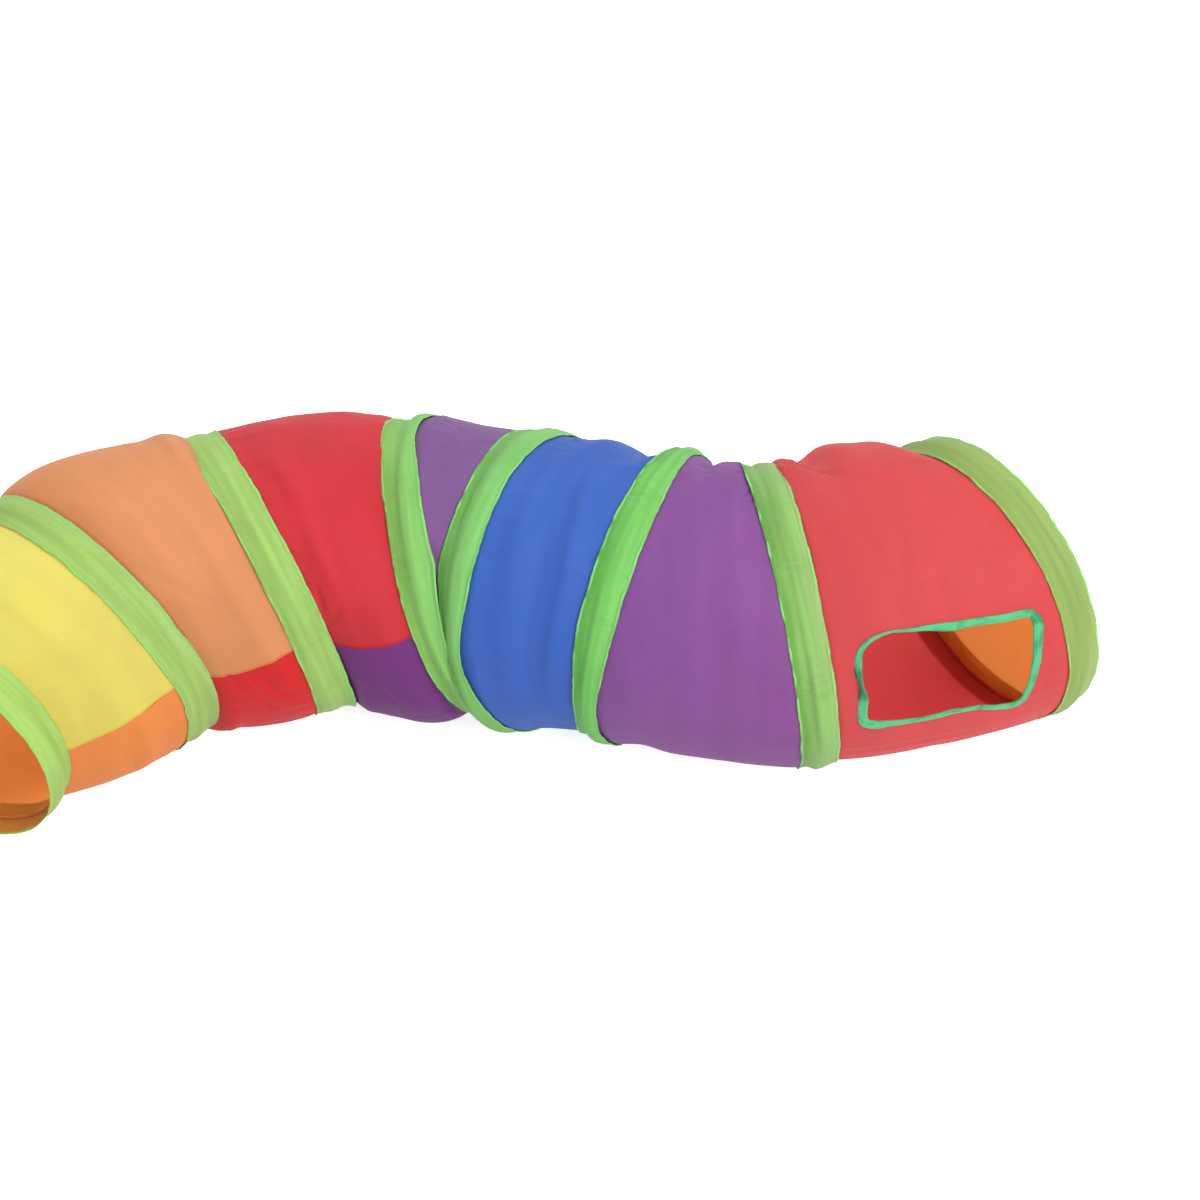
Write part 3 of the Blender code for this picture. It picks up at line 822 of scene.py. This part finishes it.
blueSection = {
    "name": "blueSection", "first": 4, "seed": 15,
    "colours": ("blue",),
    "swell": (-0.003, 0.000, -0.003, 0.000),
    "early": ((1, 140, 34, 0.009),),
    "folds": ((0.30, 60, 70, 0.13, 0.0028), (0.80, 55, 60, 0.10, 0.0022), (0.52, 55, 60, 0.08, -0.0012),
              (0.76, 136, 22, 0.15, -0.0110), (0.36, 134, 22, 0.14, 0.0030)),
    "creases": (((0.60, 104), (0.84, 44), 0.009, -0.0036), ((0.84, 52), (0.80, -6), 0.009, -0.0032),
                ((0.30, 104), (0.42, 34), 0.013, -0.0020), ((0.48, 100), (0.58, 20), 0.014, 0.0014))
    + fan((0.04, 132), (0.26, 124), 3, (0.02, -5.0), (0.02, -4.0), 0.0024, 0.0013),
}
purpleSection = {
    "name": "purpleSection", "first": 5, "seed": 16, "skew": 1.2,
    "colours": ("purple",),
    "swell": (0.001, 0.004, 0.002, 0.000),
    "early": ((0, 135, 34, 0.006), (1, 132, 30, 0.008)),
    "folds": ((0.20, 134, 26, 0.18, -0.0080), (0.80, 134, 24, 0.14, 0.0035), (0.75, 60, 70, 0.10, 0.0015),
              (0.12, -30, 24, 0.12, -0.0060)),
    "creases": (((0.28, 106), (0.42, 66), 0.007, -0.0022), ((0.72, 114), (0.76, 80), 0.007, -0.0020),
                ((0.55, 104), (0.55, 40), 0.012, 0.0014), ((0.05, 44), (0.22, 14), 0.009, 0.0011))
    + fan((0.98, 123), (0.70, 114), 3, (0.0, -9.0), (0.06, -9.0), 0.0022, 0.0015)
    + fan((0.99, 117), (0.84, 108), 3, (0.0, -8.0), (-0.03, -9.0), 0.0020, 0.0011)
    + fan((0.08, 126), (0.42, 122), 3, (0.0, -5.0), (0.0, -5.0), 0.0024, 0.0011),
}
windowSection = {
    "name": "windowSection", "first": 6, "seed": 17, "skew": 0.8,
    "colours": ("paleRed",),
    "swell": (0.003, 0.008, 0.013, 0.000),
    "early": ((0, 132, 30, 0.007),),
    "folds": ((0.45, 80, 45, 0.15, 0.002), (0.80, 134, 22, 0.14, 0.0050), (0.25, 130, 24, 0.12, -0.0170)),
    "creases": (((0.02, 128), (0.40, 95), 0.004, 0.0026), ((0.11, 48), (0.70, 62), 0.011, -0.0022),
                ((0.77, 96), (0.74, 72), 0.012, -0.0020), ((0.03, -17), (0.60, -17), 0.004, 0.0020),
                ((0.30, 44), (0.42, 74), 0.008, 0.0018))
    + fan((0.01, 127), (0.20, 134), 3, (0.0, -9.0), (0.05, -8.0), 0.0022, 0.0015)
    + fan((0.02, 121), (0.30, 124), 3, (0.0, -8.0), (-0.04, -9.5), 0.0026, 0.0011)
    + fan((0.44, 92), (0.43, 62), 3, (0.035, -3.0), (0.03, 2.0), 0.0022, 0.0011),
}

# Side window: rounded outline on the last section, as (t, degrees, corner in degrees)
windowSettings = {
    "corners": ((0.076, -0.5, 9.0), (0.57, 0.5, 8.0), (0.795, -6.0, 7.0), (0.935, 37.5, 8.0),
                (0.080, 40.0, 16.0)),
    "nearLength": 0.181,    # of the section, along its near side
    "cornerSteps": 10,
    "edgeSteps": 14,
    "width": 0.0058,
    # Where the binding is wider or narrower: (t, degrees, reach in t, share)
    "widths": ((0.25, 38, 0.13, -0.40), (0.93, 18, 0.06, 0.35), (0.12, -3, 0.09, 0.40),
               (0.45, -3, 0.13, -0.25), (0.076, 22, 0.05, 0.50), (0.08, 37, 0.06, -0.30),
               (0.28, 38, 0.12, -0.32), (0.58, -1, 0.12, -0.30), (0.93, 36, 0.05, 0.25)),
    "widthSpread": 12,
    "uneven": (0.20, 0.017),    # how much the width varies by chance, and its pitch
    "twist": (0.076, 0.05, 21, 8, 1.3),    # t, reach in t, degrees, spread, turn in radians
    "sway": (0.30, 0.020),
    # Where the folded tape stands into the window
    "bulge": (0.100, 0.03, 17, 3.5, 0.0024),
    "waver": (0.0011, 0.012),
    "shaded": ((0.076, 22), (0.93, 36), (0.60, -1)),    # folds that lie in their own shade
    "thickness": 0.0020,
    "lap": 0.0012,          # how far it reaches over the cloth
    "ring": 14,
    "roundRun": 0.0024,     # metres of cloth to a radian of its round
    "open": 0.30,           # half the gap in its round, in radians
    "tapeWidth": 0.0135,
    "tapeThickness": 0.0004,
}


def windowOutline(settings):
    # Corner points rounded off, in t and radians. The scale turns degrees round into t, so that
    # both count alike in the corners
    scale = math.radians(1.0) * clothRadius / settings["nearLength"]
    corners = [np.array((t / scale, angle)) for t, angle, _ in settings["corners"]]
    line = []
    for i, corner in enumerate(corners):
        before, after = corners[i - 1], corners[(i + 1) % len(corners)]
        reach = settings["corners"][i][2]
        start = corner + unit(before - corner) * reach
        end = corner + unit(after - corner) * reach
        for step in np.linspace(0.0, 1.0, settings["cornerSteps"]):
            line.append((1 - step) ** 2 * start + 2 * step * (1 - step) * corner + step ** 2 * end)
        ahead = after + unit(corner - after) * settings["corners"][(i + 1) % len(corners)][2]
        for step in np.linspace(0.0, 1.0, settings["edgeSteps"])[1:-1]:
            line.append(end + (ahead - end) * step)
    line = np.array(line)
    return np.stack([line[:, 0] * scale, np.radians(line[:, 1])], axis=-1)


def insideWindow(outline, t, angle):
    # Crossing count of a ray along t
    t, angle = np.broadcast_arrays(t, wrapped(angle))
    inside = np.zeros(t.shape, bool)
    for a, b in zip(outline, np.roll(outline, -1, axis=0)):
        spans = (a[1] > angle) != (b[1] > angle)
        rise = b[1] - a[1] if abs(b[1] - a[1]) > 1e-12 else 1e-12
        crossing = a[0] + (angle - a[1]) / rise * (b[0] - a[0])
        inside ^= spans & (t < crossing)
    return inside


windowSection["window"] = windowOutline(windowSettings)

# Slot and dye of each colour of cloth
colours = {
    "yellow": ("yellow_cloth", dye(225, 224, 110)),
    "mouthOrange": ("orange_cloth", dye(237, 151, 82)),
    "orange": ("orange_cloth", dye(227, 162, 108)),
    "deepRed": ("red_cloth", dye(222, 46, 50)),
    "red": ("red_cloth", dye(219, 60, 70)),
    "deepPurple": ("purple_cloth", dye(127, 62, 140)),
    "wedgePurple": ("purple_cloth", dye(143, 102, 163)),
    "blue": ("blue_cloth", dye(70, 117, 208)),
    "purple": ("purple_cloth", dye(149, 94, 168)),
    "paleRed": ("red_cloth", dye(220, 85, 87)),
    "endOrange": ("orange_cloth", dye(238, 146, 74)),
}


def makeSection(section):
    # One panel all round, or an upper and a lower one sewn together along two seams
    node = "panel_%d" % (section["first"] + 1)
    seam = seamAngle(section, spreadSteps()) if "seam" in section else None
    if seam is None:
        panels = (("", "", (), -math.pi, math.pi),)
    else:
        reach = float((math.pi - 2 * seam).mean()) * clothRadius
        panels = (("Upper", "_upper", ((0.0, 1), (reach, -1)), seam, math.pi - seam),
                  ("Lower", "_lower", (), math.pi - seam, math.tau + seam))
    for colour, (label, ending, rows, start, end) in zip(section["colours"], panels):
        slot, shade = colours[colour]
        material = polyesterMaterial(colour + "Polyester", shade, rows)
        item = makePanel(section, section["name"] + label, node + ending, material, start, end)


for section in (yellowSection, orangeSection, redSection, wedgeSection, blueSection, purpleSection,
                windowSection):
    makeSection(section)
print("cloth sections made")


# Casing tapes: a strip round each hoop, raised over the wire, its edges a little wavy
tapeSettings = {
    "around": 440,
    "across": 22,
    # Colours at the left edge, along the middle and to the right: mostly darker at the left as painted
    # shade and paler at the right as painted light
    "shadedAndLitTones": (((186, 222, 124), (184, 220, 118), (190, 228, 132)),
              ((178, 216, 122), (177, 213, 115), (182, 222, 130)),
              ((160, 204, 108), (180, 218, 120), (174, 222, 120)),
              ((144, 201, 98), (154, 215, 120), (150, 218, 124)),
              ((123, 191, 91), (149, 212, 124), (148, 222, 130)),
              ((106, 184, 84), (136, 216, 110), (146, 220, 122)),
              ((122, 180, 84), (161, 207, 120), (176, 213, 133)),
              ((157, 190, 100), (162, 193, 108), (173, 199, 119))),
    "lean": (0.0, 0.2, -0.2, 0.3, 0.2, 0.4, 0.4, 0.0),    # how much steeper the ridge falls to the left
    "wing": 0.1199,
    "ridge": 0.0036,
    "ridgeWidth": 0.0078,
    "ridgeDrift": 0.0012,
    "highest": 0.12495,
    "middleRadius": 0.122,
    "ferrule": (152, 9, 0.0013),    # place and spread in degrees, height of the bump over it
    "runRadius": 0.12,              # lengths along the edges are measured on this radius
    "edgeOut": 0.0001,
    "edgeWaves": ((0.0007, 0.017), (0.00038, 0.0042)),    # height and pitch
    "ruffle": 0.0008,
    "rufflePitch": 0.010,
    # Fine creases: height, pitch along the tape, pitch across it
    "creases": ((0.00045, 0.045, 0.0045), (0.00015, 0.006, 0.005)),
    "thickness": 0.0005,
    "lowest": 0.0002,
    "flatWidth": 0.0314,
    "ease": 1.05,
    # Where a tape is wider or narrower: (tape, side, degrees, spread in degrees, metres)
    "wider": ((1, 1, -15, 30, 0.0080), (1, -1, 5, 22, -0.0035), (2, -1, 128, 26, 0.0050),
              (3, -1, -30, 26, -0.0050), (3, 1, 40, 17, 0.0036), (3, -1, 118, 28, 0.0090),
              (3, 1, 118, 28, -0.0090), (4, -1, 40, 17, 0.0036), (4, -1, 118, 24, 0.0060),
              (4, 1, 16, 24, -0.0085), (5, 1, -5, 26, -0.0065), (5, -1, -5, 24, -0.0040),
              (5, 1, 130, 32, -0.0070), (5, -1, 140, 28, -0.0060)),
    # Where its edge stands up off the hoop
    "raised": ((1, 1, -22, 38, 0.0075), (2, -1, 128, 32, 0.0105), (2, 1, -32, 28, 0.0085),
               (3, -1, 122, 26, 0.0055), (3, 1, 118, 30, -0.0018), (5, 1, 134, 32, -0.0026),
               (6, -1, 130, 28, 0.0080)),
    "pinchGap": 0.0003,
    "overlapping": 3,       # this hoop's tape laps over the next one's where they meet
    "overlap": 0.0022,
    "lapStart": 0.0012,
    "lapSlope": 0.30,
    "lapStep": 0.0005,
}


def tapeRoom(index, angle, way):
    # Distance from a tape's hoop to the plane halfway to the next hoop on that side
    other = index + way
    if not 0 <= other < len(hoops):
        return np.full(angle.shape, 1.0)
    plane = halfwayPlane(hoops[index], hoops[other])
    return roomTo(hoops[index], plane, tapeSettings["wing"], angle, way)


def tapeReach(index, angle, way):
    # Half-width of the tape on one side. Where two hoops meet, a tape stops between them or laps
    # a little over the other
    settings = tapeSettings
    run = angle * settings["runRadius"]
    edge = 0.0
    for k, (height, pitch) in enumerate(settings["edgeWaves"]):
        edge = edge + height * softNoise(run / pitch, 0.5, 40 + 100 * k + index * 2 + way)
    reach = tapeHalf + settings["edgeOut"] + edge
    for tape, side, degrees, spread, more in settings["wider"]:
        if (tape, side) == (index, way):
            reach = reach + more * beside(angle, degrees, spread)
    over = (index, way) == (settings["overlapping"], 1)
    lap = settings["overlap"] if over else -settings["pinchGap"]
    return np.minimum(reach, tapeRoom(index, angle, way) + lap)


def tapeSurface(index, s, angle):
    settings = tapeSettings
    s, angle = np.broadcast_arrays(np.asarray(s, float), np.asarray(angle, float))
    reach = np.where(s < 0, tapeReach(index, angle, -1), tapeReach(index, angle, 1))
    x = s * reach
    run = angle * settings["runRadius"]
    seed = 60 + index
    drift = settings["ridgeDrift"] * softNoise(angle * 1.6, 0.2, seed)
    place, spread, rise = settings["ferrule"]
    ridge = settings["ridge"] + rise * beside(angle, place, spread)
    wide = settings["ridgeWidth"] * (1 + settings["lean"][index] * np.tanh(x / 0.002))
    radius = settings["wing"] + ridge * bell(x - drift, wide)
    edge = np.clip((np.abs(s) - 0.72) / 0.28, 0.0, 1.0) ** 2
    ruffle = 0.5 + 0.5 * softNoise(run / settings["rufflePitch"], s * 2 + 7, seed + 20)
    radius = radius + edge * settings["ruffle"] * ruffle
    for k, (height, along, across) in enumerate(settings["creases"]):
        radius = radius + height * softNoise(run / along, x / across, seed + 30 + k)
    if index == settings["overlapping"]:
        start = settings["lapStart"]
        over = np.maximum(0.0, x - tapeRoom(index, angle, 1) + start)
        step = settings["lapStep"] * np.clip(over / start, 0.0, 1.0)
        radius = radius + over * settings["lapSlope"] + step
    radius = np.minimum(radius, settings["highest"])
    for tape, side, degrees, spread, height in settings["raised"]:
        if tape == index:
            outer = np.clip(side * s, 0.0, 1.0) ** 1.5
            radius = radius + height * beside(angle, degrees, spread) * outer
    return hoopPoint(hoops[index], radius, angle, x)


# Raw hems that stand inwards behind each tape, a little ragged
hemSettings = {
    "around": 360,
    "rows": 4,
    "depth": 0.0042,
    "ragged": 0.0011,
    "tears": ((1.0, 0.007), (0.6, 0.0025)),    # share and pitch
    "sway": 0.0016,
    "swayPitch": 0.014,
    "stillRoom": 0.004,     # no sway where the next hoop is nearer than this
    "behind": 0.0003,
    "lowest": 0.0012,
    "thickness": 0.0004,
}


def makeHem(index, settings, material):
    angles = np.linspace(-math.pi, math.pi, settings["around"] + 1)
    down = np.linspace(0.0, 1.0, settings["rows"])
    run = angles * clothRadius
    torn = 0.0
    for k, (share, pitch) in enumerate(settings["tears"]):
        torn = torn + share * softNoise(run / pitch, 0.5, 160 + 10 * k + index)
    depth = settings["depth"] + settings["ragged"] * torn
    sway = settings["sway"] * softNoise(run / settings["swayPitch"], 0.5, 180 + index)
    radius = clothRadius - settings["behind"] - depth[:, None] * down[None, :]
    for other in (index - 1, index + 1):
        if 0 <= other < len(hoops):
            room = tapeRoom(index, angles, other - index)
            sway = np.where(room < settings["stillRoom"], 0.0, sway)
    along = sway[:, None] * down[None, :] ** 2
    points = hoopPoint(hoops[index], radius, angles[:, None], along)
    points[..., 2] = np.maximum(points[..., 2], settings["lowest"])
    uv = (down[None, :] * settings["depth"], run[:, None] + 0.7 * index)
    item = gridObject("innerHem%d" % index, points, uv, material)
    thicken(item, settings["thickness"])
    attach(item, "hoop_%d" % index)
    return item


hemColours = {"edge": dye(190, 140, 66), "middle": dye(226, 150, 72)}
hemMaterial = tapeMaterial("hemTape", hemColours["edge"], hemColours["middle"], hemColours["edge"],
                           tapeFinish)


def makeTape(index, material):
    settings = tapeSettings
    angles = np.linspace(-math.pi, math.pi, settings["around"] + 1)
    s = np.linspace(-1.0, 1.0, settings["across"])
    points = tapeSurface(index, s[None, :], angles[:, None])
    points[..., 2] = np.maximum(points[..., 2], settings["lowest"])
    uv = (s[None, :] * tapeHalf, angles[:, None] * settings["middleRadius"] + 0.9 * index)
    item = gridObject("casingTape%d" % index, points, uv, material)
    thicken(item, settings["thickness"])
    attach(item, "hoop_%d" % index)
    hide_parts("casing_tape_%d" % index)
    makeHem(index, hemSettings, hemMaterial)


for index, shadedAndLitTones in enumerate(tapeSettings["shadedAndLitTones"]):
    left, middle, right = (dye(*tone) for tone in shadedAndLitTones)
    makeTape(index, tapeMaterial("greenTape%d" % index, left, middle, right, tapeFinish))
print("casing tapes made")


def facing(vectors, way):
    # Each vector, or its opposite where it points against a way
    return np.where((vectors * way).sum(axis=-1)[..., None] < 0, -vectors, vectors)


# Binding sewn round the window, folded over the cloth's edge
def makeBinding(section, settings):
    along, angle = section["window"].T

    def near(t, reach, degrees, spread):
        # One at a place of the outline, falling off along and round the tunnel
        return bell(along - t, reach) * beside(angle, degrees, spread)

    points = clothSurface(section, along, angle)
    ahead = unit(np.roll(points, -1, axis=0) - np.roll(points, 1, axis=0))
    step = 0.002
    onT = clothSurface(section, along + step, angle)
    onA = clothSurface(section, along, angle + step)
    outward = facing(unit(np.cross(onT - points, onA - points)), hoops[section["first"]]["near"])
    inward = facing(unit(np.cross(outward, ahead)), points.mean(axis=0) - points)
    distance = np.cumsum(np.linalg.norm(np.diff(points, axis=0), axis=1))
    distance = np.concatenate([[0.0], distance])
    rounds = np.linspace(settings["open"] - math.pi, math.pi - settings["open"], settings["ring"])
    share, pitch = settings["uneven"]
    wide = 1 + share * softNoise(distance / pitch, 0.5, 90)
    for t, degrees, reach, change in settings["widths"]:
        wide = wide + change * near(t, reach, degrees, settings["widthSpread"])
    wide = settings["width"] * wide
    share, pitch = settings["sway"]
    tilt = share * softNoise(distance / pitch, 3.5, 91)
    tilt = tilt + settings["twist"][4] * near(*settings["twist"][:4])
    share, pitch = settings["waver"]
    edge = share * softNoise(distance / pitch, 5.5, 92)
    edge = edge + settings["bulge"][4] * near(*settings["bulge"][:4])
    shaded = []
    for t, degrees in settings["shaded"]:
        off = np.hypot(along - t, (angle - math.radians(degrees)) / 2)
        shaded.append(float(distance[off.argmin()]))
    material = bindingMaterial("emeraldBinding", bindingFinish, shaded)
    grid = []
    for turnAt in rounds:
        across = np.sign(math.cos(turnAt)) * abs(math.cos(turnAt)) ** 0.8 * wide / 2
        rise = math.sin(turnAt) * settings["thickness"] / 2
        x = across * np.cos(tilt) - rise * np.sin(tilt) + wide / 2 - settings["lap"] + edge
        y = across * np.sin(tilt) + rise * np.cos(tilt)
        grid.append(points + inward * x[:, None] + outward * y[:, None])
    # The tape is open along its outer edge, where it is sewn through the cloth
    grid = np.array(grid).transpose(1, 0, 2)
    grid = np.concatenate([grid, grid[:1]], axis=0)
    around = float(distance[-1] + np.linalg.norm(points[0] - points[-1]))
    distance = np.append(distance, around)
    uv = (distance[:, None], rounds[None, :] * settings["roundRun"])
    item = gridObject("windowBinding", grid, uv, material)
    thicken(item, settings["tapeThickness"], 1.0)
    bendBetween(item)
    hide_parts("window_binding")


makeBinding(windowSection, windowSettings)


# End panel: a round of cloth sewn into the last tape, its rim folded under it
endSettings = {
    "rings": 46,
    "around": 360,
    "rimDepth": 0.0125,
    "rimRings": 12,
    "rimTurn": 0.06,        # share of the radius in which the rim turns into the face
    "hole": 0.01,           # wider than the small round left open in the middle
    "gather": 0.0034,
    "gatherPitch": 0.016,
    "gatherLean": 0.006,
    "gatherLength": 0.0035,
    "gatherFrom": 0.004,
    "hollow": 0.004,
    "wrinkle": 0.0012,
    "behind": 0.0003,
}


def makeEndPanel(settings, material):
    last = hoops[-1]
    angles = np.linspace(-math.pi, math.pi, settings["around"] + 1)
    inner = np.linspace(0.004, 1.0, settings["rings"])
    radius = np.concatenate([inner, np.ones(settings["rimRings"])])
    rim = np.linspace(settings["rimDepth"], hoopSettings["meeting"], settings["rimRings"] + 1)[1:]
    along = np.concatenate([np.full(settings["rings"], settings["rimDepth"]), rim])
    r, a = np.broadcast_arrays(radius[None, :], angles[:, None])
    face = np.clip((1 - r) / settings["rimTurn"], 0.0, 1.0)
    z = along[None, :] - settings["hollow"] * face * (1 - r ** 2)
    ripple = softNoise(a * 5.5, r * 1.5, 95) * bell(r - 0.93, 0.22)
    slack = softNoise(r * np.cos(a) * 2.2, r * np.sin(a) * 2.2, 96)
    z = z + face * settings["wrinkle"] * (ripple + 0.8 * slack)
    size = clothRadius - settings["behind"]
    # The rim is gathered, with small folds that lean along it
    turn = a * size / settings["gatherPitch"]
    gathers = 0.5 + 0.5 * softNoise(turn + z / settings["gatherLean"], z / settings["gatherLength"], 97)
    deep = np.clip(z / settings["gatherFrom"], 0.0, 1.0)
    r = r - settings["gather"] / size * gathers * bell(r - 0.97, 0.05) * deep
    points = hoopPoint(last, r * size, a, z)
    uv = (r * np.cos(a) * size, r * np.sin(a) * size)
    item = gridObject("endPanel", points, uv, material)
    # Close the small round in the middle
    close = bmesh.new()
    close.from_mesh(item.data)
    centre, near = Vec(last["centre"]), settings["hole"] + settings["rimDepth"]
    hole = [edge for edge in close.edges if edge.is_boundary
            and all((v.co - centre).length < near for v in edge.verts)]
    bmesh.ops.contextual_create(close, geom=hole)
    close.to_mesh(item.data)
    close.free()
    item.data.shade_smooth()
    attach(item, "hoop_%d" % (len(hoops) - 1))
    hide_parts("end_panel")


makeEndPanel(endSettings, polyesterMaterial("endOrangePolyester", colours["endOrange"][1]))
print("window binding and end panel made")

# Stage: pale floor, plain light
stageSettings = {
    "floorSize": 8.0,
    "floorColour": 0.80,
    "floorWhite": 0.72,
    "worldLight": 0.86,
    "lampSize": 1.5,
    "keyEnergy": 66.0,
    "keyPlace": (1.6, -1.6, 2.4),
    "backEnergy": 18.0,
    "backPlace": (-0.3, 1.7, 2.0),
}
white = (1.0, 1.0, 1.0, 1.0)


def seenDirect(tree):
    # One for rays that reach the eye straight, by a mirror or through glass
    light = tree.nodes.new("ShaderNodeLightPath").outputs
    seen = mathNode('MAXIMUM', light["Is Camera Ray"], light["Is Glossy Ray"])
    return mathNode('MAXIMUM', seen, light["Is Transmission Ray"])


def makeWorld(settings):
    world = bpy.data.worlds.new("studio")
    bpy.context.scene.world = world
    world.use_nodes = True
    tree = world.node_tree
    level = tree.nodes.new("ShaderNodeMapRange")
    fill(level.inputs, {"Value": seenDirect(tree), "To Min": settings["worldLight"], "To Max": 1.0})
    fill(tree.nodes["Background"].inputs, {"Color": white, "Strength": level.outputs["Result"]})


def makeFloor(settings):
    half = settings["floorSize"] / 2
    mesh = bpy.data.meshes.new("floor")
    corners = [(x * half, y * half, 0) for x, y in ((-1, -1), (1, -1), (1, 1), (-1, 1))]
    mesh.from_pydata(corners, [], [(0, 1, 2, 3)])
    floor = addObject("floor", mesh)
    material, shader, _, _ = startMaterial("paleFloor", 0.9, 0.0)
    grey = settings["floorColour"]
    fill(shader.inputs, {
        "Base Color": (grey, grey, grey, 1.0),
        "Specular IOR Level": 0.1,
        "Emission Color": white,
        "Emission Strength": times(seenDirect(shader.id_data), settings["floorWhite"]),
    })
    mesh.materials.append(material)


def makeLamp(name, place, energy, size):
    data = bpy.data.lights.new(name, 'AREA')
    data.energy = energy
    data.shape = 'DISK'
    data.size = size
    lamp = addObject(name, data)
    lamp.location = place
    aim = Vec((0.0, 0.0, 0.1)) - Vec(place)
    lamp.rotation_euler = aim.to_track_quat('-Z', 'Y').to_euler()


makeWorld(stageSettings)
makeFloor(stageSettings)
for name in ("key", "back"):
    makeLamp(name + "Lamp", stageSettings[name + "Place"], stageSettings[name + "Energy"],
             stageSettings["lampSize"])
bpy.context.scene.view_settings.view_transform = 'Standard'

print("done")
